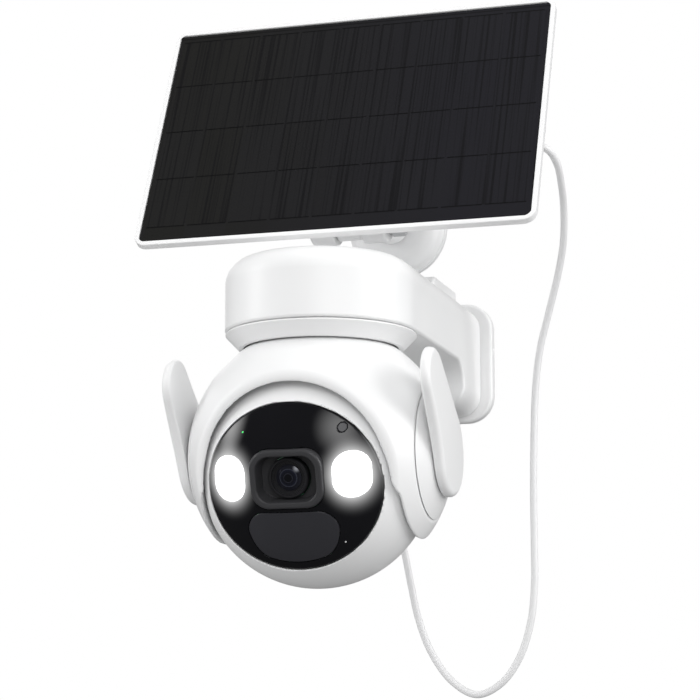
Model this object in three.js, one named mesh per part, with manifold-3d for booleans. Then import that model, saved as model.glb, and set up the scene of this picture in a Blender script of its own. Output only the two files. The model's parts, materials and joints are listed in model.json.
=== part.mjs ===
// Solar-powered pan and tilt security camera with its wall bracket and panel.
// Millimetres, +Z up, the wall is the plane Y = 0 and the camera looks along -Y.
// The origin is the middle of the wall plate's back face.
import * as THREE from 'three';
import { mergeVertices } from 'three/addons/utils/BufferGeometryUtils.js';
import Module from 'manifold-3d';

const wasm = await Module();
wasm.setup();

// ---------------------------------------------------------------- driving dimensions
const gap = 0.3; // clearance between pieces that meet
const wall = 2.5; // moulded wall thickness
const round = 28; // segments of a large round

const plate = { width: 95, height: 58, thick: 6, corner: 13, holeX: 34, holeZ: 17, hole: 2.3 };

const arm = {
  panY: -129, // the pan axis stands this far in front of the wall
  radius: 42, // drum radius and half width of the arm
  top: 26.5,
  rim: -6, // underside of the drum and arm
  fillet: 11,
  legFront: -39,
  legBottom: -27,
  crook: 12, // hollow corner under the arm
  toe: 8, // rounded lower front edge of the leg
  rear: -(plate.thick + gap),
};

const skirt = { low: -13, lowRadius: 34.6, bore: 33.5, flangeTop: -2, flangeLow: -5, seat: 24 };
const postRing = { radius: 30, post: 2.6, count: 3, start: 30 };
const chassis = { low: 9, thick: 2, radius: 36, bore: 16 };
const bearing = { outer: 23.7, inner: 18.1, low: -5, height: 7 };
const hub = { flange: 23, body: 17.8, neck: 14, bore: 9.5, low: -8.7, shoulder: 2.2, top: 9 };
const ringGear = { outer: 24, low: 2.6, height: 4 };
const panPinion = { radius: 6, height: 4.4, shaft: 1.5 };
const panMotor = { radius: 10, height: 12 };

const cell = { radius: 9.2, length: 65, x: 11, y: -43.5, z: 9 };
const hatch = { width: 62, front: -52, rear: -8, height: 7.5, grip: 24 };

const socket = { y: -22.6, radius: 6, bore: 3, top: -12, depth: 11 };
const plug = { radius: 5.6, length: 17, relief: 9, pin: 2.6 };

const yoke = { z: -60, radius: 57.4, inner: 54.2, flat: -9, ceiling: -12.5 };
yoke.hoodTilt = 18; // the hood opening leans down by this angle
yoke.hoodReach = 38; // opening plane from the centre
yoke.cheekIn = 43.5; // inner face of a cheek
yoke.shoulder = 9; // cut corner where a cheek meets the hood
yoke.cheekOut = 49.4;
yoke.capIn = 49.7;
yoke.capOut = 54.5;

const antenna = { inner: 54.8, thick: 5.4, hub: 19, tip: 12, reach: 40, lean: 44, pivot: 4 };
antenna.waistX = 14.4; // the hollow sides bend round this point
antenna.waistY = 16.8;
antenna.hubTurn = 18; // degrees of arc past level on the hub and the tip
antenna.tipTurn = 8;

const ball = { y: -133, z: -66.5, radius: 50.3, flat: 42.8, tilt: 17, split: -12, clearance: 51.6 };
const shaft = { radius: 5, inner: 35.7, outer: 49 };
const bush = { outer: 7.7, inner: 40, outerX: 43.2 };
const tiltGear = { radius: 14, near: 36, far: 39.6 };
const tiltPinion = { radius: 5, near: 34.8, far: 38.8, shaft: 1.5 };
const tiltMotor = { radius: 9.5, near: 17, far: 34.2 };

const face = { halfWidth: 37.8, halfHeight: 35.2, dome: 66, apex: 45, thick: 2.2 };
const lens = { v: 4.6, width: 31.6, height: 24.7, openWidth: 26, openHeight: 19.2, corner: 8 };
lens.front = 45.6;
lens.floor = 38.5;
lens.barrel = 8.6;
const lamp = { u: 26.6, v: 4.8, width: 15.2, height: 19, corner: 7.2 };
const pir = { top: -9.4, halfWidth: 19.8, margin: 3.6, corner: 8, foot: 5 };
const lightSensor = { u: 23.4, v: 24, radius: 1.9 };
const service = { angle: 14, width: 26, height: 12, corner: 5, thick: 2.2 };

const panel = { y: -91.3, z: 100.6, lean: 24.6, width: 187.4, height: 129.4, corner: 6 };
panel.rim = 2.6; // white border round the laminate
panel.laminate = 3;
panel.edge = 3.5; // depth of the outer edge
panel.depth = 7;
panel.taper = 4;
const knuckle = { y: -38, z: -26, halfWidth: 18, slot: 6.3, radius: 11, flangeThick: 3 };
knuckle.flangeWidth = 50;
knuckle.flangeHeight = 34;
const junction = { x: 48, y: -12, width: 46, height: 34, depth: 11, corner: 6 };
const gland = { radius: 4.4, tip: 2.6, length: 12 };
const cable = { radius: 1.65, sides: 8, steps: 48 };

const wallBase = { z: 69, radius: 24.5, rim: 4, depth: 13, neck: 11 };
const panelArm = { root: 9.4, end: 8, tongue: 6, eye: 9.2, pin: 3 };
const knob = { radius: 9, thick: 7, lobes: 6 };

// ---------------------------------------------------------------- finishes
function finish(color, roughness, metalness = 0) {
  return { color, roughness, metalness };
}
const whitePlastic = finish(0xf1f1ef, 0.42);
const greyPlastic = finish(0xc9cbcc, 0.5);
const blackPlastic = finish(0x18181a, 0.4);
const blackGlass = finish(0x09090b, 0.08);
const lampWhite = finish(0xffffff, 0.3);
const windowGrey = finish(0x303033, 0.35);
const opticGlass = finish(0x1b2436, 0.05);
const steel = finish(0xb9bcc0, 0.3, 1);
const acetal = finish(0xe6e2d6, 0.5);
const board = finish(0x1f6b3c, 0.55);
const cellWrap = finish(0x2d6fb3, 0.4);
const rubber = finish(0xdcdcda, 0.8);
const solarCell = finish(0x15151b, 0.18);
const jacket = finish(0xeeeeec, 0.45);

// ---------------------------------------------------------------- shape helpers
const rad = THREE.MathUtils.degToRad;

// A closed, merged triangle mesh without the flat triangles that poles leave.
function closed(geometry) {
  const bare = geometry.clone();
  bare.deleteAttribute('normal');
  bare.deleteAttribute('uv');
  const merged = mergeVertices(bare, 1e-4);
  const index = Array.from(merged.index.array);
  const kept = [];
  for (let i = 0; i < index.length; i += 3) {
    const [a, b, c] = [index[i], index[i + 1], index[i + 2]];
    if (a !== b && b !== c && c !== a) kept.push(a, b, c);
  }
  merged.setIndex(kept);
  return merged;
}

// Signed volume, negative when the faces point inwards.
function volumeOf(geometry) {
  const p = geometry.attributes.position;
  const index = geometry.index.array;
  const [a, b, c] = [new THREE.Vector3(), new THREE.Vector3(), new THREE.Vector3()];
  let sum = 0;
  for (let i = 0; i < index.length; i += 3) {
    a.fromBufferAttribute(p, index[i]);
    b.fromBufferAttribute(p, index[i + 1]);
    c.fromBufferAttribute(p, index[i + 2]);
    sum += a.dot(b.cross(c)) / 6;
  }
  return sum;
}

function outward(geometry) {
  const shape = closed(geometry);
  if (volumeOf(shape) < 0) {
    const index = shape.index.array;
    for (let i = 0; i < index.length; i += 3) {
      const first = index[i];
      index[i] = index[i + 1];
      index[i + 1] = first;
    }
  }
  return shape;
}

function solid(geometry) {
  const shape = outward(geometry);
  const mesh = new wasm.Mesh({
    numProp: 3,
    vertProperties: new Float32Array(shape.attributes.position.array),
    triVerts: new Uint32Array(shape.index.array),
  });
  return new wasm.Manifold(mesh);
}

function geometryOf(manifold) {
  const mesh = manifold.getMesh();
  const geometry = new THREE.BufferGeometry();
  geometry.setAttribute('position', new THREE.BufferAttribute(new Float32Array(mesh.vertProperties), 3));
  geometry.setIndex(new THREE.BufferAttribute(new Uint32Array(mesh.triVerts), 1));
  return geometry;
}

function joined(parts) {
  return parts.reduce((whole, part) => whole.add(part));
}

function cut(body, tools) {
  return tools.reduce((rest, tool) => rest.subtract(tool), body);
}

// Profile points are [radius, height]; the axis is Z.
function turned(profile, segments = round) {
  const points = profile.map(([r, z]) => new THREE.Vector2(r, z));
  return new THREE.LatheGeometry(points, segments).rotateX(Math.PI / 2);
}

// The same, turned about X: profile points are [radius, x].
function turnedAboutX(profile, segments = 20) {
  return turned(profile, segments).rotateY(Math.PI / 2);
}

function discProfile(radius, low, high) {
  return [[0, low], [radius, low], [radius, high], [0, high]];
}

function tubeProfile(inner, outer, low, high) {
  return [[inner, low], [outer, low], [outer, high], [inner, high], [inner, low]];
}

function disc(radius, low, high, segments = 16) {
  return turned(discProfile(radius, low, high), segments);
}

function tube(inner, outer, low, high, segments = 24) {
  return turned(tubeProfile(inner, outer, low, high), segments);
}

function box(x0, x1, y0, y1, z0, z1) {
  const shape = new THREE.BoxGeometry(x1 - x0, y1 - y0, z1 - z0);
  return shape.translate((x0 + x1) / 2, (y0 + y1) / 2, (z0 + z1) / 2);
}

// Points of a quarter round of a profile, from angle a0 to a1 in degrees.
function arcPoints(cx, cy, radius, a0, a1, steps = 5) {
  const points = [];
  for (let i = 0; i <= steps; i += 1) {
    const a = rad(a0 + ((a1 - a0) * i) / steps);
    points.push([cx + radius * Math.cos(a), cy + radius * Math.sin(a)]);
  }
  return points;
}

function roundedRect(x0, x1, y0, y1, r) {
  const shape = new THREE.Shape();
  shape.moveTo(x0 + r, y0);
  shape.lineTo(x1 - r, y0);
  shape.absarc(x1 - r, y0 + r, r, -Math.PI / 2, 0, false);
  shape.lineTo(x1, y1 - r);
  shape.absarc(x1 - r, y1 - r, r, 0, Math.PI / 2, false);
  shape.lineTo(x0 + r, y1);
  shape.absarc(x0 + r, y1 - r, r, Math.PI / 2, Math.PI, false);
  shape.lineTo(x0, y0 + r);
  shape.absarc(x0 + r, y0 + r, r, Math.PI, 1.5 * Math.PI, false);
  return shape;
}

function centredRect(width, height, r, x = 0, y = 0) {
  return roundedRect(x - width / 2, x + width / 2, y - height / 2, y + height / 2, r);
}

function extruded(shape, low, high, curveSegments = 4) {
  const options = { depth: high - low, bevelEnabled: false, curveSegments };
  return new THREE.ExtrudeGeometry(shape, options).translate(0, 0, low);
}

// Shape drawn in (Y, Z), pulled along X.
function acrossX(shape, x0, x1, curveSegments = 5) {
  const turn = new THREE.Matrix4().makeBasis(
    new THREE.Vector3(0, 1, 0),
    new THREE.Vector3(0, 0, 1),
    new THREE.Vector3(1, 0, 0),
  );
  return extruded(shape, x0, x1, curveSegments).applyMatrix4(turn);
}

// Shape drawn in (X, Z), pulled along -Y from y0 to y1 (y1 is in front).
function forward(shape, y0, y1, curveSegments = 5) {
  return extruded(shape, -y0, -y1, curveSegments).rotateX(Math.PI / 2);
}

function sphere(radius, widthSegments = 24, heightSegments = 14) {
  return new THREE.SphereGeometry(radius, widthSegments, heightSegments).rotateX(Math.PI / 2);
}

// ---------------------------------------------------------------- scene graph
const camera = new THREE.Group();

function add(name, geometry, look, parent = camera) {
  const mesh = new THREE.Mesh(outward(geometry), new THREE.MeshStandardMaterial(look));
  mesh.name = name;
  parent.add(mesh);
  return mesh;
}

function groupAt(x, y, z, parent = camera) {
  const group = new THREE.Group();
  group.position.set(x, y, z);
  parent.add(group);
  return group;
}

// ---------------------------------------------------------------- wall plate
function makeWallPlate() {
  const shape = centredRect(plate.width, plate.height, plate.corner);
  const body = solid(forward(shape, 0, -plate.thick));
  const holes = [];
  for (const x of [-plate.holeX, plate.holeX]) {
    for (const z of [-plate.holeZ, plate.holeZ]) {
      // straight hole with a countersink towards the leg
      const profile = [[0, -1], [plate.hole, -1], [plate.hole, 3.4], [4.6, 6.4], [0, 6.4]];
      holes.push(solid(turned(profile, 16).rotateX(Math.PI / 2).translate(x, 0, z)));
    }
  }
  add('wall_plate', geometryOf(cut(body, holes)), whitePlastic);
}

// ---------------------------------------------------------------- arm housing
function drumSolid(inset, low) {
  const r = arm.radius - inset;
  const top = arm.top - inset;
  const fillet = arm.fillet - inset;
  const profile = [[0, low], [r, low], ...arcPoints(r - fillet, top - fillet, fillet, 0, 90), [0, top]];
  return solid(turned(profile).translate(0, arm.panY, 0));
}

// Side outline of the arm and leg in (Y, Z).
function armOutline(inset, rear) {
  const under = arm.rim + inset;
  const front = arm.legFront + inset;
  const low = arm.legBottom + inset;
  const crook = arm.crook + inset;
  const toe = Math.max(arm.toe - inset, 1);
  const shape = new THREE.Shape();
  shape.moveTo(arm.panY, under);
  shape.lineTo(front - crook, under);
  shape.absarc(front - crook, under - crook, crook, Math.PI / 2, 0, true);
  shape.lineTo(front, low + toe);
  shape.absarc(front + toe, low + toe, toe, Math.PI, 1.5 * Math.PI, false);
  shape.lineTo(rear, low);
  shape.lineTo(rear, arm.top - inset);
  shape.lineTo(arm.panY, arm.top - inset);
  return shape;
}

function armSolid(inset, rear) {
  const half = arm.radius - inset;
  const side = solid(acrossX(armOutline(inset, rear), -half, half));
  const section = roundedRect(-half, half, arm.legBottom + inset, arm.top - inset, arm.fillet - inset);
  return side.intersect(solid(forward(section, rear, arm.panY)));
}

function makeArmHousing() {
  const outer = drumSolid(0, arm.rim).add(armSolid(0, arm.rear));
  const inner = drumSolid(wall, arm.rim - 1).add(armSolid(wall, arm.rear + 1));
  const half = hatch.width / 2 - 5;
  const bay = solid(box(-half, half, hatch.front + 5, hatch.rear - 5, arm.top - 2 * wall, arm.top + 1));
  const inlet = solid(disc(socket.radius + gap, arm.legBottom - 1, arm.legBottom + 2 * wall)
    .translate(0, socket.y, 0));
  add('arm_housing', geometryOf(cut(outer, [inner, bay, inlet])), whitePlastic);
}

function makeBatteryCover() {
  const low = arm.top + gap;
  const shape = new THREE.Shape();
  const top = low + hatch.height;
  shape.moveTo(hatch.front, low);
  shape.lineTo(hatch.rear, low);
  shape.lineTo(hatch.rear, top);
  shape.lineTo(hatch.front + 3, top);
  shape.lineTo(hatch.front, top - 3);
  const body = solid(acrossX(shape, -hatch.width / 2, hatch.width / 2));
  const lip = 2;
  const hollow = solid(box(-hatch.width / 2 + lip, hatch.width / 2 - lip, hatch.front + lip,
    hatch.rear - lip, low - 1, top - lip));
  const grip = solid(box(-hatch.grip / 2, hatch.grip / 2, hatch.front - 1,
    hatch.front + lip + 1, low - 1, top - 4));
  add('battery_cover', geometryOf(cut(body, [hollow, grip])), whitePlastic);
}

// ---------------------------------------------------------------- inside the drum and arm
function ringSpots(ring) {
  const spots = [];
  for (let i = 0; i < ring.count; i += 1) {
    const a = rad(ring.start + (360 * i) / ring.count);
    spots.push([ring.radius * Math.cos(a), arm.panY + ring.radius * Math.sin(a)]);
  }
  return spots;
}

function makeBaseRing() {
  const profile = [
    [arm.radius - gap, arm.rim - gap],
    [arm.radius - wall - gap, arm.rim - gap],
    [arm.radius - wall - gap, skirt.flangeTop],
    [skirt.seat, skirt.flangeTop],
    [skirt.seat, skirt.flangeLow],
    [skirt.bore, skirt.flangeLow - 1],
    [skirt.bore, skirt.low],
    [skirt.lowRadius, skirt.low],
    [arm.radius - gap, arm.rim - gap],
  ];
  const body = solid(turned(profile).translate(0, arm.panY, 0));
  const holes = ringSpots(postRing).map(([x, y]) => solid(disc(1.6, -8, 0, 12).translate(x, y, 0)));
  add('base_ring', geometryOf(cut(body, holes)), whitePlastic);
}

function makeChassis() {
  const plateBody = solid(disc(chassis.radius, chassis.low, chassis.low + chassis.thick, 28)
    .translate(0, arm.panY, 0));
  const posts = ringSpots(postRing).map(([x, y]) =>
    solid(disc(postRing.post, skirt.flangeTop + gap, chassis.low + 1, 14).translate(x, y, 0)));
  const bores = ringSpots(postRing).map(([x, y]) =>
    solid(disc(1.5, skirt.flangeTop - 1, 6, 12).translate(x, y, 0)));
  const middle = solid(disc(chassis.bore, chassis.low - 1, chassis.low + 4).translate(0, arm.panY, 0));
  const shaftHole = solid(disc(panPinion.shaft + 1, chassis.low - 1, chassis.low + 4, 14)
    .translate(0, pinionY(), 0));
  const body = cut(joined([plateBody, ...posts]), [middle, shaftHole, ...bores]);
  add('base_chassis', geometryOf(body), greyPlastic);
}

function makeBaseScrews() {
  ringSpots(postRing).forEach(([x, y], i) => {
    const head = skirt.flangeLow - 1.2;
    const profile = [[0, head - 2], [2.4, head - 2], [2.4, head], [1.2, head], [1.2, 4], [0, 4]];
    add(`base_screw_${i + 1}`, turned(profile, 12).translate(x, y, 0), steel);
  });
}

function pinionY() {
  return arm.panY + ringGear.outer + panPinion.radius + gap;
}

function makePanDrive() {
  const { outer, inner, low, height } = bearing;
  add('pan_bearing', tube(inner, outer, low, low + height).translate(0, arm.panY, 0), steel);
  const motorLow = chassis.low + chassis.thick + gap;
  const can = solid(disc(panMotor.radius, motorLow, motorLow + panMotor.height, 20));
  const bore = solid(disc(panPinion.shaft + gap, motorLow - 1, motorLow + 4, 14));
  const motor = geometryOf(can.subtract(bore)).translate(0, pinionY(), 0);
  add('pan_motor', motor, steel);
  const gearTop = ringGear.low + panPinion.height;
  const profile = [
    [0, ringGear.low - 0.2],
    [panPinion.radius, ringGear.low - 0.2],
    [panPinion.radius, gearTop],
    [panPinion.shaft, gearTop],
    [panPinion.shaft, motorLow + 3.4],
    [0, motorLow + 3.4],
  ];
  add('pan_pinion', turned(profile, 20).translate(0, pinionY(), 0), acetal);
}

function makePowerPack() {
  const { radius, length, x, y, z } = cell;
  for (const side of [-1, 1]) {
    const can = disc(radius, -length / 2, length / 2, 24).rotateX(Math.PI / 2);
    add(side < 0 ? 'battery_cell_left' : 'battery_cell_right', can.translate(side * x, y, z), cellWrap);
  }
  const halfX = x + radius + 2.4;
  const halfY = length / 2 + 2.4;
  const low = arm.rim + wall + gap;
  const shell = solid(box(-halfX, halfX, y - halfY, y + halfY, low, z));
  const bay = solid(box(-halfX + 2, halfX - 2, y - halfY + 2, y + halfY - 2, z - radius - gap, z + 1));
  add('battery_tray', geometryOf(shell.subtract(bay)), blackPlastic);
}

function makeInlet() {
  const body = solid(disc(socket.radius, arm.legBottom, socket.top, 20));
  const bore = solid(disc(socket.bore, arm.legBottom - 1, arm.legBottom + socket.depth, 16));
  const shell = geometryOf(body.subtract(bore)).translate(0, socket.y, 0);
  add('power_socket', shell, blackPlastic);
  const top = arm.legBottom - gap;
  const low = top - plug.length;
  const profile = [
    [0, low - plug.relief],
    [cable.radius + 0.9, low - plug.relief],
    [plug.radius - 1.6, low - 1],
    [plug.radius, low + 2],
    [plug.radius, top],
    [plug.pin, top],
    [plug.pin, top + socket.depth - 1],
    [0, top + socket.depth - 1],
  ];
  add('power_plug', turned(profile, 18).translate(0, socket.y, 0), whitePlastic);
}

// ---------------------------------------------------------------- turntable and yoke
function makeTurntable() {
  const profile = [
    [hub.bore, hub.low],
    [hub.flange, hub.low],
    [hub.flange, skirt.flangeLow - 0.5],
    [hub.body, skirt.flangeLow - 0.5],
    [hub.body, hub.shoulder],
    [hub.neck, hub.shoulder],
    [hub.neck, hub.top],
    [hub.bore, hub.top],
    [hub.bore, hub.low],
  ];
  add('turntable_hub', turned(profile, 24).translate(0, arm.panY, 0), acetal);
  const { outer, low, height } = ringGear;
  add('pan_ring_gear', tube(hub.neck + gap, outer, low, low + height).translate(0, arm.panY, 0), acetal);
}

// Half-space tools are big boxes.
const far = 120;

function makeYoke() {
  const group = groupAt(0, arm.panY, yoke.z);
  const outer = solid(sphere(yoke.radius));
  const between = solid(box(-yoke.cheekOut, yoke.cheekOut, -far, far, -far, yoke.flat - yoke.z));
  const opening = solid(box(-far, far, -far, far, yoke.hoodReach, far).rotateX(rad(90 + yoke.hoodTilt)));
  const { cheekIn, shoulder } = yoke;
  const slotShape = new THREE.Shape();
  slotShape.moveTo(-cheekIn, -far);
  slotShape.lineTo(cheekIn, -far);
  slotShape.lineTo(cheekIn, -shoulder);
  slotShape.lineTo(cheekIn - shoulder * 0.6, 0);
  slotShape.lineTo(-cheekIn + shoulder * 0.6, 0);
  slotShape.lineTo(-cheekIn, -shoulder);
  const slot = solid(extruded(slotShape, -far, far).rotateX(rad(90 + yoke.hoodTilt)));
  const channel = solid(box(-yoke.cheekIn, yoke.cheekIn, -far, far, -far, yoke.ceiling - yoke.z));
  const ballRoom = solid(sphere(ball.clearance).translate(0, ball.y - arm.panY, ball.z - yoke.z));
  const room = solid(sphere(yoke.inner)).add(ballRoom).intersect(channel);
  const wiring = solid(disc(hub.bore, -far / 2, far / 2).translate(0, 0, 60));
  const bore = discProfile(shaft.radius + gap, -yoke.cheekOut - 2, yoke.cheekOut + 2);
  const trunnions = solid(turnedAboutX(bore, 20).translate(0, ball.y - arm.panY, ball.z - yoke.z));
  const body = cut(outer.intersect(between), [opening, slot, room, wiring, trunnions]);
  add('yoke_shell', geometryOf(body), whitePlastic, group);

  for (const side of [-1, 1]) {
    const inner = Math.min(side * yoke.capIn, side * yoke.capOut);
    const reach = Math.max(side * yoke.capIn, side * yoke.capOut);
    const slice = solid(box(inner, reach, -far, far, -far, far));
    const pivotHole = solid(turnedAboutX(discProfile(antenna.pivot + gap, inner - 1, reach + 1), 20));
    const cap = outer.intersect(slice).subtract(pivotHole);
    add(side < 0 ? 'left_cheek_cap' : 'right_cheek_cap', geometryOf(cap), whitePlastic, group);
  }
}

// Paddle outline with its hub at the origin and its tip up, drawn in (Y, Z).
function paddleShape() {
  const { hub: hubRadius, tip, waistX, waistY, reach } = antenna;
  const shape = new THREE.Shape();
  const hubAngle = rad(antenna.hubTurn);
  const tipAngle = rad(antenna.tipTurn);
  const hubX = hubRadius * Math.cos(hubAngle);
  const hubY = hubRadius * Math.sin(hubAngle);
  const tipX = tip * Math.cos(tipAngle);
  const tipY = reach + tip * Math.sin(tipAngle);
  shape.absarc(0, 0, hubRadius, Math.PI - hubAngle, 2 * Math.PI + hubAngle, false);
  shape.quadraticCurveTo(waistX, waistY, tipX, tipY);
  shape.absarc(0, reach, tip, tipAngle, Math.PI - tipAngle, false);
  shape.quadraticCurveTo(-waistX, waistY, -hubX, hubY);
  return shape;
}

function makeAntennas() {
  for (const side of [-1, 1]) {
    const name = side < 0 ? 'left' : 'right';
    const x = side * antenna.inner;
    const reach = side * (antenna.inner + antenna.thick);
    const group = groupAt(0, arm.panY, yoke.z);
    group.rotation.x = rad(antenna.lean);
    const paddle = acrossX(paddleShape(), Math.min(x, reach), Math.max(x, reach), 8);
    add(`${name}_antenna`, paddle, whitePlastic, group);
    const inner = side * (yoke.capIn + gap);
    const outer = side * yoke.capOut;
    const ends = [inner, outer].sort((a, b) => a - b);
    const pivot = turnedAboutX(discProfile(antenna.pivot, ...ends), 20);
    add(`${name}_antenna_pivot`, pivot, acetal, group);
  }
}

function makeTiltShafts() {
  const group = groupAt(0, ball.y, ball.z);
  for (const side of [-1, 1]) {
    const name = side < 0 ? 'left' : 'right';
    const ends = [side * shaft.inner, side * shaft.outer].sort((a, b) => a - b);
    add(`tilt_shaft_${name}`, turnedAboutX(discProfile(shaft.radius, ...ends), 18), steel, group);
  }
  const rim = tubeProfile(shaft.radius + gap, tiltGear.radius, -tiltGear.far, -tiltGear.near);
  const gear = turnedAboutX(rim, 24);
  add('tilt_gear', gear, acetal, group);
}

// ---------------------------------------------------------------- camera ball
// The ball's own frame: x across, y up along the face, z out of the face.
const head = groupAt(0, ball.y, ball.z);
head.rotation.x = rad(90 + ball.tilt);

function ellipseShape(halfWidth, halfHeight) {
  const shape = new THREE.Shape();
  shape.absellipse(0, 0, halfWidth, halfHeight, 0, 2 * Math.PI, false, 0);
  return shape;
}

function faceOutline(margin) {
  return ellipseShape(face.halfWidth - margin, face.halfHeight - margin);
}

// The domed front skin between two depths under its outer surface.
function skin(outline, from, to, curveSegments = 4) {
  const centre = face.apex - face.dome;
  const outer = solid(turned(domeProfile(face.dome - from), 24).translate(0, 0, centre));
  const inner = solid(turned(domeProfile(face.dome - to), 24).translate(0, 0, centre));
  return outer.subtract(inner).intersect(solid(extruded(outline, 20, 60, curveSegments)));
}

function domeProfile(radius) {
  const low = 30;
  return [[0, low], ...arcPoints(0, 0, radius, 27, 90, 5)];
}

function ballShell() {
  const half = ball.flat;
  const outer = solid(sphere(ball.radius)).intersect(solid(box(-half, half, -far, far, -far, far)));
  const innerHalf = half - wall;
  const inner = solid(sphere(ball.radius - wall))
    .intersect(solid(box(-innerHalf, innerHalf, -far, far, -far, far)));
  const bore = solid(turnedAboutX(discProfile(bush.outer + gap, -far / 2, far / 2), 24));
  return cut(outer, [inner, bore]);
}

function serviceShape(margin) {
  const width = service.width - 2 * margin;
  return centredRect(width, service.height - 2 * margin, service.corner - margin);
}

// A prism out through the ball's underside, in the ball's frame.
function underside(shape, low, high) {
  return extruded(shape, low, high).rotateX(rad(90 + service.angle));
}

function makeBall() {
  const shell = ballShell();
  const frontHalf = solid(box(-far, far, -far, far, ball.split + gap / 2, far));
  const rearHalf = solid(box(-far, far, -far, far, -far, ball.split - gap / 2));
  const faceHole = solid(extruded(faceOutline(-gap), 10, far, 8));
  const hatchHole = solid(underside(serviceShape(-gap), 30, far));
  const front = cut(shell.intersect(frontHalf), [faceHole, hatchHole]);
  add('ball_front_shell', geometryOf(front), whitePlastic, head);

  const grille = [[0, 0]];
  for (let i = 0; i < 6; i += 1) grille.push([5 * Math.cos(rad(60 * i)), 5 * Math.sin(rad(60 * i))]);
  const holes = grille.map(([x, y]) => solid(disc(1.1, -far, -30, 10).translate(x, y, 0)));
  const screwHoles = ballScrewSpots().map(([x, y]) => solid(disc(3, -far, -30, 14).translate(x, y, 0)));
  const rear = cut(shell.intersect(rearHalf), [...holes, ...screwHoles, hatchHole]);
  add('ball_rear_shell', geometryOf(rear), whitePlastic, head);
}

function ballScrewSpots() {
  return [[-24, 0], [24, 0]];
}

function makeBallScrews() {
  ballScrewSpots().forEach(([x, y], i) => {
    const seat = -41.5;
    const tip = ball.split - 4;
    const profile = [[0, seat], [2.6, seat], [2.6, seat + 2], [1.3, seat + 2], [1.3, tip], [0, tip]];
    add(`ball_screw_${i + 1}`, turned(profile, 14).translate(x, y, 0), steel, head);
  });
}

// Motion sensor window: flat top, rounded corners, lower edge following the rim of the face.
function pirShape(margin) {
  const a = face.halfWidth - pir.margin - margin;
  const b = face.halfHeight - pir.margin - margin;
  const half = pir.halfWidth - margin;
  const top = pir.top - margin;
  const r = pir.corner - margin;
  const shape = new THREE.Shape();
  const sideLow = -b * Math.sqrt(1 - (half / a) ** 2);
  const inset = half - pir.foot;
  const footLow = -b * Math.sqrt(1 - (inset / a) ** 2);
  shape.moveTo(half, sideLow + pir.foot);
  shape.lineTo(half, top - r);
  shape.absarc(half - r, top - r, r, 0, Math.PI / 2, false);
  shape.lineTo(-half + r, top);
  shape.absarc(-half + r, top - r, r, Math.PI / 2, Math.PI, false);
  shape.lineTo(-half, sideLow + pir.foot);
  shape.quadraticCurveTo(-half, sideLow, -inset, footLow);
  const start = Math.atan2(footLow / b, -inset / a);
  const end = Math.atan2(footLow / b, inset / a);
  shape.absellipse(0, 0, a, b, start, end, false, 0);
  shape.quadraticCurveTo(half, sideLow, half, sideLow + pir.foot);
  return shape;
}

function lampShape(side, margin) {
  const corner = lamp.corner - margin;
  return centredRect(lamp.width - 2 * margin, lamp.height - 2 * margin, corner, side * lamp.u, lamp.v);
}

function lensShape(margin) {
  return centredRect(lens.width - 2 * margin, lens.height - 2 * margin, lens.corner - margin, 0, lens.v);
}

function sensorShape(margin) {
  const shape = new THREE.Shape();
  shape.absarc(lightSensor.u, lightSensor.v, lightSensor.radius - margin, 0, 2 * Math.PI, false);
  return shape;
}

function makeFace() {
  const lamps = [lampShape(-1, -gap), lampShape(1, -gap)];
  const windows = [...lamps, pirShape(-gap), lensShape(-gap), sensorShape(-gap)];
  const tools = windows.map((shape) => solid(extruded(shape, 20, 60)));
  add('face_glass', geometryOf(cut(skin(faceOutline(0), 0, face.thick, 8), tools)), blackGlass, head);
  add('led_window_left', geometryOf(skin(lampShape(-1, 0), 0, face.thick)), lampWhite, head);
  add('led_window_right', geometryOf(skin(lampShape(1, 0), 0, face.thick)), lampWhite, head);
  add('pir_window', geometryOf(skin(pirShape(0), 0, face.thick)), windowGrey, head);
  add('light_sensor', geometryOf(skin(sensorShape(0), 0, face.thick)), windowGrey, head);
}

function makeLens() {
  const block = solid(extruded(lensShape(0), lens.floor - 2, lens.front));
  const opening = centredRect(lens.openWidth, lens.openHeight, lens.corner - 2, 0, lens.v);
  const dish = solid(extruded(opening, lens.floor, lens.front + 1));
  const barrelHole = solid(disc(lens.barrel + gap, lens.floor - 4, lens.floor + 1).translate(0, lens.v, 0));
  add('lens_hood', geometryOf(cut(block, [dish, barrelHole])), blackPlastic, head);
  const { barrel } = lens;
  const barrelProfile = [
    [0, 12], [barrel, 12], [barrel, lens.floor + 3.4], [barrel - 1.8, lens.floor + 3.4],
    [6, lens.floor + 1.2], [0, lens.floor + 1.2],
  ];
  add('lens_barrel', turned(barrelProfile, 24).translate(0, lens.v, 0), blackPlastic, head);
  const low = lens.floor + 1.2 + gap;
  const glass = [[0, low], [5.4, low], ...arcPoints(0, low - 8.4, 10.2, 58, 90, 4)];
  add('lens_glass', turned(glass, 20).translate(0, lens.v, 0), opticGlass, head);
}

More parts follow.
